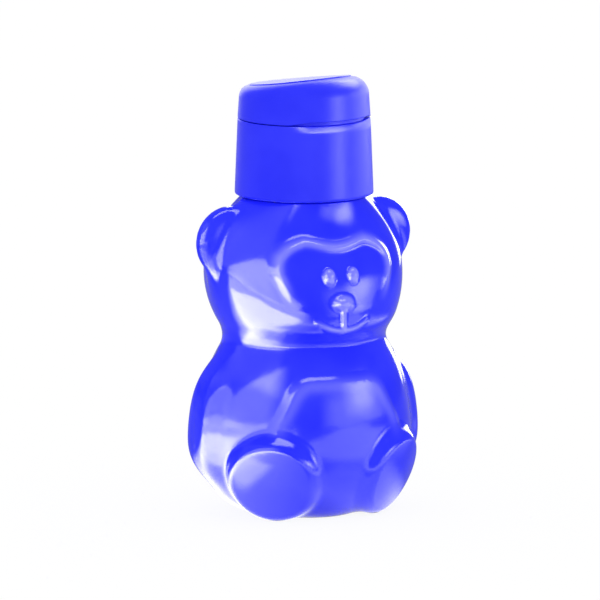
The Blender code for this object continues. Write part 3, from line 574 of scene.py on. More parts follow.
def neck_rows():
    """The neck's wall from the shoulder, over its rim and down its bore, as rows of points."""
    bore = NECK_RADIUS - NECK_WALL
    profile = []
    corners = rounded([(SHOULDER_RADIUS, SHOULDER_Z, 0.0), (NECK_RADIUS, SHOULDER_Z, NECK_FOOT_CUT),
                       (NECK_RADIUS, NECK_TOP_Z, NECK_RIM_CUT), (bore, NECK_TOP_Z, NECK_RIM_CUT),
                       (bore, SHOULDER_Z - WALL, NECK_FOOT_CUT),
                       (bore + WALL, SHOULDER_Z - 2 * WALL, 0.0)])
    for low, high in zip(corners, corners[1:]):
        outside = low[0] == NECK_RADIUS and high[0] == NECK_RADIUS
        count = math.ceil((high[1] - low[1]) / NECK_ROW_GAP) if outside else 1
        profile.extend(low + (high - low) * share / count for share in range(count))
    profile = np.array(profile + [corners[-1]])
    angle = ring_angles(NECK_STEPS)
    radius, height = all_round(profile, angle)
    outside = (radius > NECK_RADIUS - CLOSE) & (height > SHOULDER_Z + THREAD_MARGIN)
    ridge = thread(angle, height, THREAD_BOTTOM, THREAD_TOP) * outside
    return round_rows(radius + THREAD_RISE * ridge, angle, height)


def new_object(name, data):
    """A named object of a mesh or a camera, put into the scene."""
    obj = bpy.data.objects.new(name, data)
    bpy.context.scene.collection.objects.link(obj)
    return obj


def make_bear():
    """Skin, cavity and neck in one mesh, with the open edges between them bridged. The skin's normals
    follow the slope of its distance, and an attribute says where a highlight is painted paler into its
    colour."""
    skin_points, skin_faces = surface_net(bear, SKIN_GRID)
    cavity_points, cavity_faces = surface_net(cavity, CAVITY_GRID)
    rows = neck_rows()
    points = np.concatenate([skin_points, cavity_points, rows.reshape(-1, 3)])
    skin_end = len(skin_points)
    neck_start = skin_end + len(cavity_points)
    faces = np.concatenate([skin_faces, cavity_faces + skin_end,
                            grid_faces(len(rows), NECK_STEPS) + neck_start])
    mesh = bpy.data.meshes.new("bear_shell")
    mesh.from_pydata(points, [], faces)
    bm = bmesh.new()
    bm.from_mesh(mesh)
    open_edges = [edge for edge in bm.edges if edge.is_boundary]

    def open_ring(low, high):
        return [edge for edge in open_edges if all(low <= vert.index < high for vert in edge.verts)]

    outer = open_ring(0, skin_end) + open_ring(neck_start, neck_start + NECK_STEPS)
    inner = open_ring(skin_end, neck_start) + open_ring(len(points) - NECK_STEPS, len(points))
    bmesh.ops.bridge_loops(bm, edges=outer)
    bmesh.ops.bridge_loops(bm, edges=inner)
    bm.to_mesh(mesh)
    bm.free()
    mesh.shade_smooth()
    normals = np.zeros((len(points), 3))
    slope = gradient(bear, skin_points)
    normals[:skin_end] = slope / np.linalg.norm(slope, axis=1)[:, None]
    mesh.normals_split_custom_set_from_vertices(normals)
    # Painted highlight: the share of paler colour on the skin, stored as an attribute.
    thin = np.zeros(len(points))
    thin[:skin_end] = painted_highlight_share(*skin_points.T)
    mesh.attributes.new("thin", "FLOAT", "POINT").data.foreach_set("value", thin)
    return new_object("bear_shell", mesh)


class Wire:
    """A node's output, which plain arithmetic turns into Math nodes of the same material."""

    def __init__(self, tree, socket):
        self.tree, self.socket = tree, socket

    def node(self, kind, settings=None, inputs=None, output=0):
        """Adds a node of a type, sets its settings first, and then its inputs, by name or number."""
        node = self.tree.nodes.new(kind)
        for name, value in (settings or {}).items():
            setattr(node, name, value)
        for name, value in (inputs or {}).items():
            if isinstance(value, Wire):
                self.tree.links.new(value.socket, node.inputs[name])
            else:
                node.inputs[name].default_value = value
        return Wire(self.tree, node.outputs[output] if len(node.outputs) else None)

    def maths(self, operation, *values):
        """Adds a Math node."""
        return self.node("ShaderNodeMath", {"operation": operation}, dict(enumerate(values)))

    def __add__(self, other):
        return self.maths("ADD", self, other)

    def __sub__(self, other):
        return self.maths("SUBTRACT", self, other)

    def __rsub__(self, other):
        return self.maths("SUBTRACT", other, self)

    def __mul__(self, other):
        return self.maths("MULTIPLY", self, other)

    def __abs__(self):
        return self.maths("ABSOLUTE", self)

    __radd__, __rmul__ = __add__, __mul__


def new_material(name):
    """An empty node material, and a wire in it to start from: the object's own coordinates."""
    material = bpy.data.materials.new(name)
    material.use_nodes = True
    material.node_tree.nodes.clear()
    return material, Wire(material.node_tree, None).node("ShaderNodeTexCoord", output=3)


def step_wire(value, low, high):
    """From 0 to 1, smoothly, as a wire goes from low to high."""
    return value.node("ShaderNodeMapRange", {"interpolation_type": "SMOOTHSTEP"},
                      {"Value": value, "From Min": low, "From Max": high})


def mix_colour(factor, first, second):
    """The first colour where a wire is 0, the second where it is 1."""
    return factor.node("ShaderNodeMix", {"data_type": "RGBA"}, {0: factor, 6: first, 7: second}, 2)


def noise(place, size, detail=2.0, roughness=0.5):
    """Noise of about a feature size in metres, from 0 to 1."""
    return place.node("ShaderNodeTexNoise", None, {"Vector": place, "Scale": 1.0 / size,
                                                   "Detail": detail, "Roughness": roughness})


def bump(height, distance, strength=1.0):
    """A bump of a wire's height, for Normal."""
    return height.node("ShaderNodeBump", None, {"Strength": strength, "Distance": distance,
                                                "Height": height})


def finish(material, shader):
    """Puts a shader on a material's surface."""
    shader.node("ShaderNodeOutputMaterial", None, {"Surface": shader})
    return material


def finish_principled(material, **sockets):
    """Finishes a material with a Principled shader; its sockets' names have _ for spaces."""
    inputs = {name.replace("_", " "): value for name, value in sockets.items()}
    start = Wire(material.node_tree, None)
    return finish(material, start.node("ShaderNodeBsdfPrincipled", None, inputs))


BOTTLE_BLUE = (0.014, 0.022, 0.93, 1.0)
BOTTLE_THIN_BLUE = (0.024, 0.034, 1.0, 1.0)
# The pale blue and its share below are a painted highlight, mixed in on the face and the tummy's edge.
BOTTLE_PAINTED_HIGHLIGHT_BLUE = (0.24, 0.25, 1.0, 1.0)
BOTTLE_PAINTED_HIGHLIGHT_SHARE = 0.8
BOTTLE_WAVE_SHARE = 0.35
BOTTLE_RELIEF = 0.25 * MM
BOTTLE_ROUGHNESS = 0.07
PARTING_HALF_WIDTH = (0.05 * MM, 0.22 * MM)
PARTING_SHARE = 0.12


def bottle_plastic():
    """Glossy blue plastic with a painted highlight, paler on the face's rim and features and inside the
    tummy's upper edge, with a faint waviness, fine scuffs in the gloss, and the mould's parting line
    down both sides."""
    material, place = new_material("bottle_plastic")
    cloud = step_wire(noise(place, 24 * MM), 0.35, 0.7)
    thin = place.node("ShaderNodeAttribute", {"attribute_name": "thin"}, output=2)
    # Painted highlight: the colour is mixed towards pale blue where the attribute marks it.
    colour = mix_colour(thin * BOTTLE_PAINTED_HIGHLIGHT_SHARE, mix_colour(cloud, BOTTLE_BLUE, BOTTLE_THIN_BLUE),
                        BOTTLE_PAINTED_HIGHLIGHT_BLUE)
    depth = place.node("ShaderNodeSeparateXYZ", None, {0: place}, 1)
    parting = 1 - step_wire(abs(depth), *PARTING_HALF_WIDTH)
    height = noise(place, 9 * MM, 1.0) * BOTTLE_WAVE_SHARE + parting * PARTING_SHARE
    scuff = noise(place, 1.6 * MM, 4.0, 0.7)
    return finish_principled(material, Base_Color=colour, IOR=1.4, Normal=bump(height, BOTTLE_RELIEF),
                             Roughness=BOTTLE_ROUGHNESS + scuff * BOTTLE_ROUGHNESS)


bear_shell = make_bear()
bear_shell.data.materials.append(bottle_plastic())
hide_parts("bottle_shell")
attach(bear_shell, "bottle")


# The seal: a soft silicone ring that lies between the neck's rim and the cap's deck. It is moulded in
# one piece, with small round edges, and rises with the cap.

MERGE = 0.0005 * MM


def ring_piece(name, rows, wrap=True, sharp=40.0):
    """A closed piece from rows of points whose columns run round; points on the axis are merged."""
    mesh = bpy.data.meshes.new(name)
    mesh.from_pydata(rows.reshape(-1, 3), [], grid_faces(*rows.shape[:2], wrap))
    bm = bmesh.new()
    bm.from_mesh(mesh)
    bmesh.ops.remove_doubles(bm, verts=bm.verts, dist=MERGE)
    bmesh.ops.delete(bm, geom=[edge for edge in bm.edges if not edge.link_faces], context="EDGES")
    bmesh.ops.recalc_face_normals(bm, faces=bm.faces)
    bm.to_mesh(mesh)
    bm.free()
    mesh.shade_smooth()
    mesh.set_sharp_from_angle(angle=math.radians(sharp))
    return new_object(name, mesh)


def turn_profile(profile, steps=128, turn=0.0):
    """Rows of points for a closed profile of (radius, height), turned about the bottle's axis."""
    angle = turn + ring_angles(steps)
    radius, height = all_round(profile, angle)
    return round_rows(radius, angle, height)


SILICONE = (0.66, 0.70, 0.93, 1.0)
SILICONE_DUSTY = (0.6, 0.64, 0.86, 1.0)


def silicone():
    """Soft matt silicone with a fine grain and a little dust in patches."""
    material, place = new_material("silicone")
    grain = noise(place, 0.5 * MM, 3.0)
    dust = step_wire(noise(place, 5 * MM, 3.0), 0.4, 0.75)
    return finish_principled(material, Base_Color=mix_colour(dust, SILICONE, SILICONE_DUSTY),
                             Roughness=0.5 + grain * 0.12, Normal=bump(grain, 0.05 * MM, 0.4))


seal_low, seal_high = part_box("neck_seal")
SEAL_INNER = 17.3 * MM
SEAL_CUT = 0.4 * MM
silicone_material = silicone()
seal_corners = [(seal_high.x, seal_high.z, SEAL_CUT), (seal_high.x, seal_low.z, SEAL_CUT),
                (SEAL_INNER, seal_low.z, SEAL_CUT), (SEAL_INNER, seal_high.z, SEAL_CUT)]
seal_ring = ring_piece("seal_ring", turn_profile(rounded(seal_corners)))
seal_ring.data.materials.append(silicone_material)
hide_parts("neck_seal")
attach(seal_ring, "seal")


# The screw cap, in a stiffer, satin plastic. Inside its smooth tapered skirt runs the thread. Its deck
# carries the drinking spout and a low collar, a thumb recess is scooped out of its rim, and at the back
# stand the two lugs of the hinge.

cap_low, cap_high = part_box("cap_base")
hinge = next(joint for joint in frame["joints"] if joint["name"] == "lid_hinge")
PIVOT_X, PIVOT_Y, PIVOT_Z = hinge["pos_m"]
CAP_TURN = math.atan2(-PIVOT_X, PIVOT_Y)
PIVOT_RADIUS = math.hypot(PIVOT_X, PIVOT_Y)
SKIRT_Z = cap_low.z
SKIRT_RADIUS = 24.0 * MM
SKIRT_INNER = 21.5 * MM
RIM_RADIUS = 22.95 * MM
RIM_Z = PIVOT_Z - 0.15 * MM
DECK_LOW_Z = seal_high.z + 0.3 * MM
DECK_Z = DECK_LOW_Z + 1.6 * MM
COLLAR_RADIUS = 20.85 * MM
COLLAR_WALL = 1.3 * MM
COLLAR_Z = RIM_Z + 1.8 * MM
SPOUT_Z = cap_high.z
SPOUT_RADIUS = 7.9 * MM
SPOUT_BORE = 5.8 * MM
SPOUT_FLARE = 1.5 * MM
THUMB_HALF_ANGLE = math.radians(56.0)
THUMB_EASE = math.radians(24.0)
THUMB_DEPTH = 1.5 * MM
THUMB_DROP = 2.3 * MM
THUMB_POWER = 1.15
CAP_GAP = 0.45 * MM
CAP_STEPS = 220
CAP_THREAD_RISE = 0.8 * MM
CAP_THREAD_BOTTOM = SKIRT_Z + 4.6 * MM
CAP_THREAD_TOP = DECK_LOW_Z - 4.0 * MM


def thumb_window(angle):
    """1 in front, where the thumb goes, falling to 0 over an easing angle at both ends."""
    from_front = np.abs((angle + math.pi / 2 + math.pi) % (2 * math.pi) - math.pi)
    return smooth_step((THUMB_HALF_ANGLE - from_front) / THUMB_EASE)


def turned_with_cap(rows):
    """Points of the cap's own frame, turned to where its thread stops."""
    cos, sin = math.cos(CAP_TURN), math.sin(CAP_TURN)
    x, y, z = rows[..., 0], rows[..., 1], rows[..., 2]
    return np.stack([x * cos - y * sin, x * sin + y * cos, z], axis=-1)


def filled(profile, gap):
    """A closed profile with points added wherever two are further apart than a gap."""
    points = []
    for here, after in zip(profile, np.roll(profile, -1, axis=0)):
        count = max(math.ceil(np.hypot(*(after - here)) / gap), 1)
        points.append(here + (after - here) * np.arange(count)[:, None] / count)
    return np.concatenate(points)


def cap_rows():
    """The cap's closed profile turned about the axis. In the thumb window the skirt's top leans in by
    depth * share^1.15, and inside the skirt a thread stands in the gaps of the neck's own."""
    recess = COLLAR_RADIUS - COLLAR_WALL
    corners = [(SPOUT_BORE, SPOUT_Z, 0.8 * MM), (SPOUT_RADIUS, SPOUT_Z, 0.8 * MM),
               (SPOUT_RADIUS, DECK_Z, SPOUT_FLARE), (recess, DECK_Z, 0.5 * MM),
               (recess, COLLAR_Z, 0.4 * MM), (COLLAR_RADIUS, COLLAR_Z, 0.4 * MM),
               (COLLAR_RADIUS, RIM_Z, 0.2 * MM),
               (RIM_RADIUS, RIM_Z, 0.35 * MM), (SKIRT_RADIUS, SKIRT_Z, 0.9 * MM),
               (SKIRT_INNER, SKIRT_Z, 0.6 * MM), (SKIRT_INNER, DECK_LOW_Z, 0.4 * MM),
               (SPOUT_BORE, DECK_LOW_Z, 0.5 * MM)]
    profile = filled(rounded(corners), CAP_GAP)
    angle = ring_angles(CAP_STEPS)
    radius, height = all_round(profile, angle)
    outside = radius > COLLAR_RADIUS + 0.3 * MM
    share = np.clip((height - RIM_Z + THUMB_DROP) / THUMB_DROP, 0.0, 1.0) * outside
    lean = THUMB_DEPTH * thumb_window(angle) * share ** THUMB_POWER
    inner_wall = (np.abs(radius - SKIRT_INNER) < CLOSE) & (height > SKIRT_Z + THREAD_MARGIN)
    ridge = thread(angle + CAP_TURN, height, CAP_THREAD_BOTTOM, CAP_THREAD_TOP, offset=0.5)
    radius = radius - lean - CAP_THREAD_RISE * ridge * inner_wall
    return turned_with_cap(round_rows(radius, angle, height))


LUG_INNER = 3.0 * MM
LUG_WIDTH = 2.6 * MM
LUG_LOW = (RIM_RADIUS - 1.2 * MM, PIVOT_Z - 3.4 * MM)
LUG_HIGH = (PIVOT_RADIUS + 1.7 * MM, RIM_Z - 0.15 * MM)
KNUCKLE_RADIUS = 2.4 * MM
KNUCKLE_HALF = 2.7 * MM
BARREL_CUT = 0.35 * MM
WEB_CUT = 0.3 * MM
WEB_INSET = 0.02 * MM
PIN_RADIUS = 1.0 * MM
PIN_CLEARANCE = 0.3 * MM
BORE_OVERRUN = 1.0 * MM
BORE_CUT = 0.01 * MM
SLIVER = 0.0002 * MM


def barrel(name, radius, low, high, cut, steps=40):
    """A barrel with round ends along the hinge line, between two places across the cap."""
    profile = rounded([(0.0, high, 0.0), (radius, high, cut), (radius, low, cut), (0.0, low, 0.0)])
    angle = ring_angles(steps)
    around, along = all_round(profile, angle)
    rows = np.stack([along, PIVOT_RADIUS + around * np.cos(angle),
                     PIVOT_Z + around * np.sin(angle)], axis=2)
    return ring_piece(name, turned_with_cap(rows), wrap=False)


def block(name, low, high, cut):
    """A block in the cap's frame with rounded edges."""
    bm = bmesh.new()
    bmesh.ops.create_cube(bm, size=1.0)
    low, high = np.array(low), np.array(high)
    for vert in bm.verts:
        vert.co = (low + high) / 2 + np.array(vert.co) * (high - low)
    bmesh.ops.bevel(bm, geom=bm.edges, offset=cut, segments=3, affect="EDGES", profile=0.5)
    for vert in bm.verts:
        vert.co = turned_with_cap(np.array(vert.co))
    mesh = bpy.data.meshes.new(name)
    bm.to_mesh(mesh)
    bm.free()
    return new_object(name, mesh)


def carve(obj, tools, sharp=35.0):
    """Joins or cuts a piece by others in turn, and removes the others."""
    for operation, tool in tools:
        modifier = obj.modifiers.new(tool.name, "BOOLEAN")
        modifier.operation, modifier.solver, modifier.object = operation, "EXACT", tool
    bpy.context.view_layer.update()
    mesh = bpy.data.meshes.new_from_object(obj.evaluated_get(bpy.context.evaluated_depsgraph_get()))
    obj.modifiers.clear()
    obj.data = mesh
    bm = bmesh.new()
    bm.from_mesh(mesh)
    bmesh.ops.triangulate(bm, faces=[face for face in bm.faces if len(face.verts) > 4])
    bmesh.ops.dissolve_degenerate(bm, edges=bm.edges, dist=SLIVER)
    bm.to_mesh(mesh)
    bm.free()
    mesh.shade_smooth()
    mesh.set_sharp_from_angle(angle=math.radians(sharp))
    for _, tool in tools:
        bpy.data.objects.remove(tool, do_unlink=True)
    return obj


def hinge_eye(name, low, high, web_low, web_high):
    """A hinge barrel on its web, given in depth and height, with the pin's bore through both."""
    eye = barrel(name, KNUCKLE_RADIUS, low, high, BARREL_CUT)
    web = block(f"{name}_web", (low + WEB_INSET, *web_low), (high - WEB_INSET, *web_high), WEB_CUT)
    bore = barrel(f"{name}_bore", PIN_RADIUS + PIN_CLEARANCE, low - BORE_OVERRUN, high + BORE_OVERRUN,
                  BORE_CUT)
    return carve(eye, [("UNION", web), ("DIFFERENCE", bore)])


def lug(side):
    """The lug on one side of the hinge, 1 or -1."""
    low, high = sorted((side * LUG_INNER, side * (LUG_INNER + LUG_WIDTH)))
    return hinge_eye(f"lug_{side}", low, high, LUG_LOW, LUG_HIGH)


CAP_BLUE = (0.004, 0.011, 0.93, 1.0)
CAP_FLOW_BLUE = (0.01, 0.018, 0.97, 1.0)


def cap_plastic():
    """Satin blue plastic with a very fine moulded grain and faint flow marks in its gloss."""
    material, place = new_material("cap_plastic")
    grain = noise(place, 0.28 * MM, 3.0, 0.6)
    flow = noise(place, 14 * MM)
    colour = mix_colour(step_wire(flow, 0.3, 0.75), CAP_BLUE, CAP_FLOW_BLUE)
    return finish_principled(material, Base_Color=colour, IOR=1.45, Roughness=0.3 + flow * 0.08,
                             Normal=bump(grain, 0.03 * MM, 0.25))


cap_material = cap_plastic()
cap_shell = ring_piece("cap_shell", cap_rows())
carve(cap_shell, [("UNION", lug(side)) for side in (1, -1)])
cap_shell.data.materials.append(cap_material)
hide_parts("cap_base")
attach(cap_shell, "cap")


# The hinge pin: a short drawn steel rod, pushed through both lugs and the lid's knuckle, with its ends
# broken by a small chamfer.

STEEL_DARK = (0.55, 0.55, 0.58, 1.0)
STEEL_BRIGHT = (0.7, 0.7, 0.72, 1.0)


def pin_steel():
    """Bright drawn steel, with fine marks along its length."""
    material, place = new_material("pin_steel")
    mapped = place.node("ShaderNodeMapping", None, {"Vector": place, "Rotation": (0.0, 0.0, -CAP_TURN),
                                                    "Scale": (1.0, 12.0, 12.0)})
    marks = noise(mapped, 2 * MM, 4.0)
    return finish_principled(material, Base_Color=mix_colour(marks, STEEL_DARK, STEEL_BRIGHT),
                             Metallic=1.0, Roughness=0.22 + marks * 0.15,
                             Normal=bump(marks, 0.02 * MM, 0.3))


PIN_HALF = LUG_INNER + LUG_WIDTH - 0.3 * MM
PIN_CHAMFER = 0.2 * MM
pin_rod = barrel("pin_rod", PIN_RADIUS, -PIN_HALF, PIN_HALF, PIN_CHAMFER, steps=28)
pin_rod.data.materials.append(pin_steel())
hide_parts("hinge_pin")
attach(pin_rod, "cap")


# The lid: a wedge-shaped cup of the same plastic, highest in front, with a soft upper edge, a fine step
# up to its flat top, a lip that is lifted over the thumb recess, and a knuckle for the pin.

LID_Z = RIM_Z + 0.3 * MM
LID_TOP_Z = LID_Z + 12.9 * MM
LID_SLOPE = 0.108
LID_DRAFT = 0.067
LID_FILLET = 4.6 * MM
LID_FILLET_SWELL = 1.9 * MM
LID_WALL = 1.8 * MM
LID_EDGE_CUT = 0.25 * MM
LID_LIP_RISE = 1.1 * MM
LID_STEP = 0.35 * MM
LID_STEP_ROWS = ((0.02 * MM, 0.0), (0.02 * MM, 0.1), (0.02 * MM, 0.8), (0.1 * MM, 1.0))
LID_STEPS = 200


def lid_ring(angle, turn, inset):
    """Points round the lid at a turn up its top fillet, from 0 at the wall to a right angle at the top,
    moved inwards and down by an inset."""
    fillet = LID_FILLET - LID_FILLET_SWELL * np.sin(angle)
    top = LID_TOP_Z - LID_SLOPE * RIM_RADIUS * np.sin(angle) - (LID_STEP if inset == 0.0 else 0.0)
    height = top - fillet * (1.0 - math.sin(turn))
    radius = RIM_RADIUS - LID_DRAFT * (height - LID_Z) - fillet * (1.0 - math.cos(turn))
    return radius - inset * math.cos(turn), height - inset * math.sin(turn)


def lid_side(angle, inset, wrap_steps=14, side_steps=16, top_steps=12):
    """Rows up one face of the lid: the drafted wall, the fillet, the outer face's step, and the top."""
    foot_z = LID_Z + LID_LIP_RISE * thumb_window(angle)
    wall_z = lid_ring(angle, 0.0, inset)[1]
    rows = []
    for share in np.linspace(0.0, 1.0, side_steps, endpoint=False):
        level = foot_z + (wall_z - foot_z) * share
        rows.append((RIM_RADIUS - LID_DRAFT * (level - LID_Z) - inset, level))
    rows += [lid_ring(angle, turn, inset) for turn in np.linspace(0.0, math.pi / 2, wrap_steps)]
    radius, height = rows[-1]
    if inset == 0.0:
        rows += [(radius - inwards, height + LID_STEP * share) for inwards, share in LID_STEP_ROWS]
        radius, height = rows[-1]
    middle = LID_TOP_Z - inset
    rows += [(radius * share, middle + (height - middle) * share)
             for share in np.linspace(0.98, 0.0, top_steps)]
    return rows


def lid_rows():
    """The lid's closed section, out and up over the top and back inside, with a rounded lip."""
    angle = ring_angles(LID_STEPS)
    outer, inner = lid_side(angle, 0.0), lid_side(angle, LID_WALL)
    cut = LID_EDGE_CUT
    (outer_radius, lip_z), (inner_radius, _) = outer[0], inner[0]
    lip = [(inner_radius, lip_z + cut), (inner_radius + 0.3 * cut, lip_z + 0.3 * cut),
           (inner_radius + cut, lip_z), (outer_radius - cut, lip_z),
           (outer_radius - 0.3 * cut, lip_z + 0.3 * cut), (outer_radius, lip_z + cut)]
    rows = lip + outer[1:] + inner[:0:-1]
    radius, height = (np.array([row[part] + 0 * angle for row in rows]) for part in (0, 1))
    return turned_with_cap(round_rows(radius, angle, height))


LID_SHARP = 50.0
SOCKET_INNER = 4.5 * MM
SOCKET_OUTER = 6.1 * MM
SOCKET_LOW_Z = SPOUT_Z + 2.1 * MM
SOCKET_HIGH_Z = LID_TOP_Z - 1.3 * MM
SOCKET_STEPS = 80
SOCKET_TURN = 0.01
KNUCKLE_WEB = (RIM_RADIUS - 0.9 * MM, RIM_Z + 0.6 * MM)
lid_shell = ring_piece("lid_shell", lid_rows(), sharp=LID_SHARP)
socket_corners = [(SOCKET_OUTER, SOCKET_HIGH_Z, 0.0), (SOCKET_OUTER, SOCKET_LOW_Z, 0.3 * MM),
                  (SOCKET_INNER, SOCKET_LOW_Z, 0.2 * MM), (SOCKET_INNER, SOCKET_HIGH_Z, 0.0)]
socket_rows = turn_profile(rounded(socket_corners), SOCKET_STEPS, SOCKET_TURN)
socket_ring = ring_piece("socket_ring", socket_rows)
knuckle = hinge_eye("knuckle", -KNUCKLE_HALF, KNUCKLE_HALF, KNUCKLE_WEB,
                    (PIVOT_RADIUS, PIVOT_Z + KNUCKLE_RADIUS))
carve(lid_shell, [("UNION", knuckle), ("UNION", socket_ring)], sharp=LID_SHARP)
lid_shell.data.materials.append(cap_material)
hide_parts("flip_lid")
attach(lid_shell, "lid")


# The plug: soft silicone, pressed by its stem into the socket under the lid. Its flange lands on the
# spout's lip and its tapered shank goes into the bore.

plug_low, plug_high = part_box("spout_plug")
PLUG_STEM = 4.2 * MM
PLUG_SHANK = 5.5 * MM
PLUG_FLANGE = 8.4 * MM
PLUG_TAPER = 0.5 * MM
PLUG_STEPS = 96
flange_low = SPOUT_Z + 0.3 * MM
flange_high = flange_low + 1.5 * MM
plug_corners = [(0.0, plug_high.z, 0.0), (PLUG_STEM, plug_high.z, 0.3 * MM),
                (PLUG_STEM, flange_high, 0.2 * MM), (PLUG_FLANGE, flange_high, 0.4 * MM),
                (PLUG_FLANGE, flange_low, 0.3 * MM), (PLUG_SHANK, flange_low, 0.2 * MM),
                (PLUG_SHANK - PLUG_TAPER, plug_low.z, 0.5 * MM), (0.0, plug_low.z, 0.0)]
soft_plug = ring_piece("soft_plug", turn_profile(rounded(plug_corners), PLUG_STEPS), wrap=False)
soft_plug.data.materials.append(silicone_material)
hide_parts("spout_plug")
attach(soft_plug, "lid")


# The studio: a white floor and background, even soft light all round, and cards that only the gloss
# sees: walls, sheets and lamps for the translucent bear, two grey nets that dim those on the left, and
# a few cards for the satin cap and lid alone.

CAMERA_AZIMUTH = 26.0
CAMERA_ELEVATION = 9.0
CAMERA_DISTANCE = 5.0
SENSOR_WIDTH = 36.0
VIEW_WIDTH = 0.2072
AIM = Vector((0.0, 0.0, 73.3 * MM))
AIM_ACROSS = -1.4 * MM
VEIL = 0.15
FLOOR_HALF = 3.0
FLOOR_GLOW = 0.93
FLOOR_LEVELS = (0.9, 0.3)
WORLD_LEVELS = (1.15, 0.2)


def grey(level):
    """An even grey of a level, where 1 is white."""
    return (level, level, level, 1.0)


def matt_and_gloss(gloss, levels):
    """One grey for what matt surfaces get, and another for what a gloss reflects."""
    return mix_colour(gloss, *map(grey, levels))


def ray_kinds(start):
    """Two wires: 1 for what the camera sees directly, and 1 for what a gloss reflects."""
    rays = start.node("ShaderNodeLightPath").socket.node.outputs
    return Wire(start.tree, rays["Is Camera Ray"]), Wire(start.tree, rays["Is Glossy Ray"])


def plane(name, half_width, half_height, material):
    """A flat rectangle of two half sides."""
    mesh = bpy.data.meshes.new(name)
    corners = ((-1, -1), (1, -1), (1, 1), (-1, 1))
    mesh.from_pydata([(x * half_width, y * half_height, 0.0) for x, y in corners], [], [(0, 1, 2, 3)])
    mesh.materials.append(material)
    obj = new_object(name, mesh)
    return obj


def floor_white():
    """White floor that stays nearly white to the eye and keeps a soft shadow."""
    material, place = new_material("floor_white")
    seen, gloss = ray_kinds(place)
    matt = place.node("ShaderNodeBsdfDiffuse", None, {"Color": matt_and_gloss(gloss, FLOOR_LEVELS)})
    glow = place.node("ShaderNodeEmission")
    shader = place.node("ShaderNodeMixShader", None, {0: seen * FLOOR_GLOW, 1: matt, 2: glow})
    return finish(material, shader)


def card_surface(name, strength, half_width, half_height, left, right, low, high):
    """A card's look, which fades in from each edge: a veil of light so sheer that it hides no other,
    or for a negative strength a grey net that dims what is seen through its front."""
    material, place = new_material(name)
    split = place.node("ShaderNodeSeparateXYZ", None, {0: place}).socket.node.outputs
    across, up = Wire(place.tree, split[0]), Wire(place.tree, split[1])
    share = (step_wire(across + half_width, 0.0, left) * step_wire(half_width - across, 0.0, right)
             * step_wire(up + half_height, 0.0, low) * step_wire(half_height - up, 0.0, high))
    if strength > 0.0:
        share = share * VEIL
        shader = place.node("ShaderNodeEmission", None, {"Strength": strength / VEIL})
    else:
        share = share * (1 - place.node("ShaderNodeNewGeometry", output=6)) * -strength
        shader = place.node("ShaderNodeBsdfTransparent", None, {"Color": grey(0.0)})
    clear = place.node("ShaderNodeBsdfTransparent")
    return finish(material, place.node("ShaderNodeMixShader", None, {0: share, 1: clear, 2: shader}))


def facing(azimuth, elevation):
    """The direction at an azimuth and elevation in degrees, and the level one across it."""
    azimuth, elevation = math.radians(azimuth), math.radians(elevation)
    level = math.cos(elevation)
    towards = (math.sin(azimuth) * level, -math.cos(azimuth) * level, math.sin(elevation))
    return Vector(towards), Vector((math.cos(azimuth), math.sin(azimuth), 0.0))


def card(name, place, half_width, half_height, strength, fades, centre, pieces):
    """A card that faces the bottle from a place (azimuth, elevation and distance), shifted by a centre
    on its own plane, and seen only in the gloss of some pieces."""
    normal, across = facing(*place[:2])
    up = normal.cross(across)
    obj = plane(name, half_width, half_height,
                card_surface(f"{name}_light", strength, half_width, half_height, *fades))
    matrix = Matrix((across, up, normal)).transposed().to_4x4()
    matrix.translation = normal * place[2] + across * centre[0] + up * centre[1] + AIM
    obj.matrix_world = matrix
    obj.visible_camera = obj.visible_diffuse = obj.visible_shadow = obj.visible_transmission = False
    lit = bpy.data.collections.new(f"{name}_lit")
    for piece in pieces:
        lit.objects.link(piece)
    obj.light_linking.receiver_collection = lit


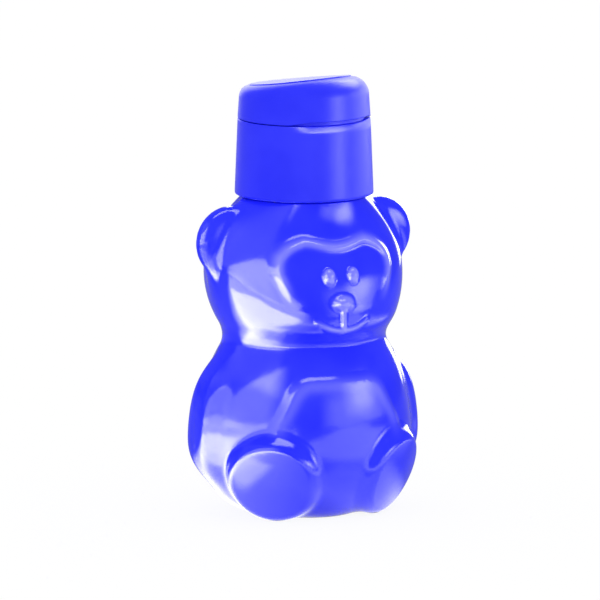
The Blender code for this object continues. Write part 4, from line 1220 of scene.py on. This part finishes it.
BEAR, CAP, CAP_AND_LID = [bear_shell], [cap_shell], [cap_shell, lid_shell]
CARDS = [
    ("left_net", (-90.0, -89.9, 0.0093), 0.3, 0.3, -0.6, (0.03,) * 4, (0.1, 0.35), BEAR),
    ("left_low", (-31.0, 0.0, 0.98), 2.775, 0.185, 7.0, (3.0, 1.4, 0.01, 0.3), (-3.225, 0.115), BEAR),
    ("left_wall", (-31.0, 0.0, 1.0), 3.05, 0.33, 10.0, (5.0, 0.45, 0.01, 0.07), (-2.95, 0.26), BEAR),
    ("ear_net", (-90.0, 89.9, 0.0123), 0.08, 0.04, -0.8, (0.006,) * 4, (0.03, -0.076), BEAR),
    ("left_high", (-85.0, 30.0, 4.0), 3.6, 1.8, 1.1, (0.6, 1.2, 0.1, 1.2), (0, 0), BEAR),
    ("left_floor", (-15.0, -89.9, 0.0729), 1.0, 0.625, 10.5, (0.1, 0.15, 0.04, 0.01),
     (-0.97, 0.58), BEAR),
    ("left_sheet", (-15.0, -89.9, 0.0725), 0.17, 0.159, 17.0, (0.02, 0.04, 0.02, 0.01),
     (-0.21, 0.141), BEAR),
    ("foot_sheet", (-15.0, -89.9, 0.0723), 0.02, 0.02, 9.0, (0.01,) * 4, (-0.05, 0.043), BEAR),
    ("right_lamp", (43.0, 5.0, 1.0), 0.36, 0.18, 8.0, (0.3, 0.3, 0.14, 0.15), (0.0, 0.03), BEAR),
    ("right_wall", (35.0, 0.0, 1.2), 0.9, 0.19, 3.3, (0.5, 0.5, 0.01, 0.22), (0.1, 0.12), BEAR),
    ("right_sheet", (33.0, -89.9, 0.0727), 0.25, 0.55, 3.3, (0.12, 0.12, 0.07, 0.1), (0, 0.6), BEAR),
    ("front_sheet", (33.0, -89.9, 0.0726), 0.045, 0.035, 1.8, (0.02, 0.03, 0.015, 0.03),
     (0.0, 0.05), BEAR),
    ("overhead", (0.0, 89.9, 1.0), 0.55, 0.3, 9.0, (0.2, 0.2, 0.15, 0.12), (0.0, -0.48), BEAR),
    ("back_right", (140.0, 10.0, 1.0), 0.35, 0.8, 6.0, (0.1, 0.1, 0.2, 0.2), (0, 0), BEAR),
    ("cap_strip", (34.0, 0.0, 1.0), 0.34, 0.5, 10.0, (0.5, 0.3, 0.1, 0.35), (0, 0), CAP_AND_LID),
    ("cap_right", (90.0, 0.0, 1.0), 0.6, 0.5, 2.6, (0.2,) * 4, (0, 0), CAP_AND_LID),
    ("cap_back", (115.0, 42.0, 1.0), 0.45, 0.3, 6.0, (0.2, 0.2, 0.1, 0.1), (0, 0), CAP_AND_LID),
    ("recess_lamp", (20.0, 45.0, 1.0), 0.6, 0.25, 17.0, (0.1,) * 4, (0, 0), CAP),
    ("backdrop", (154.0, 20.0, 1.2), 1.0, 0.9, 2.0, (0.3, 0.3, 0.2, 0.3), (0, 0), CAP_AND_LID)]

plane("floor", FLOOR_HALF, FLOOR_HALF, floor_white())
for row in CARDS:
    card(*row)

world = bpy.data.worlds.new("studio")
world.use_nodes = True
world.node_tree.nodes.clear()
bpy.context.scene.world = world
start = Wire(world.node_tree, None)
seen, gloss = ray_kinds(start)
colour = mix_colour(seen, matt_and_gloss(gloss, WORLD_LEVELS), grey(1.0))
background = start.node("ShaderNodeBackground", None, {"Color": colour})
start.node("ShaderNodeOutputWorld", None, {"Surface": background})

camera_data = bpy.data.cameras.new("camera")
camera = new_object("camera", camera_data)
towards, right = facing(-CAMERA_AZIMUTH, CAMERA_ELEVATION)
camera.location = AIM + right * AIM_ACROSS + towards * CAMERA_DISTANCE
camera.rotation_euler = (math.radians(90.0 - CAMERA_ELEVATION), 0.0, math.radians(-CAMERA_AZIMUTH))
camera_data.sensor_width = SENSOR_WIDTH
camera_data.lens = SENSOR_WIDTH * CAMERA_DISTANCE / VIEW_WIDTH
camera_data.clip_end = 4 * CAMERA_DISTANCE
bpy.context.scene.camera = camera
bpy.context.scene.view_settings.view_transform = "Standard"
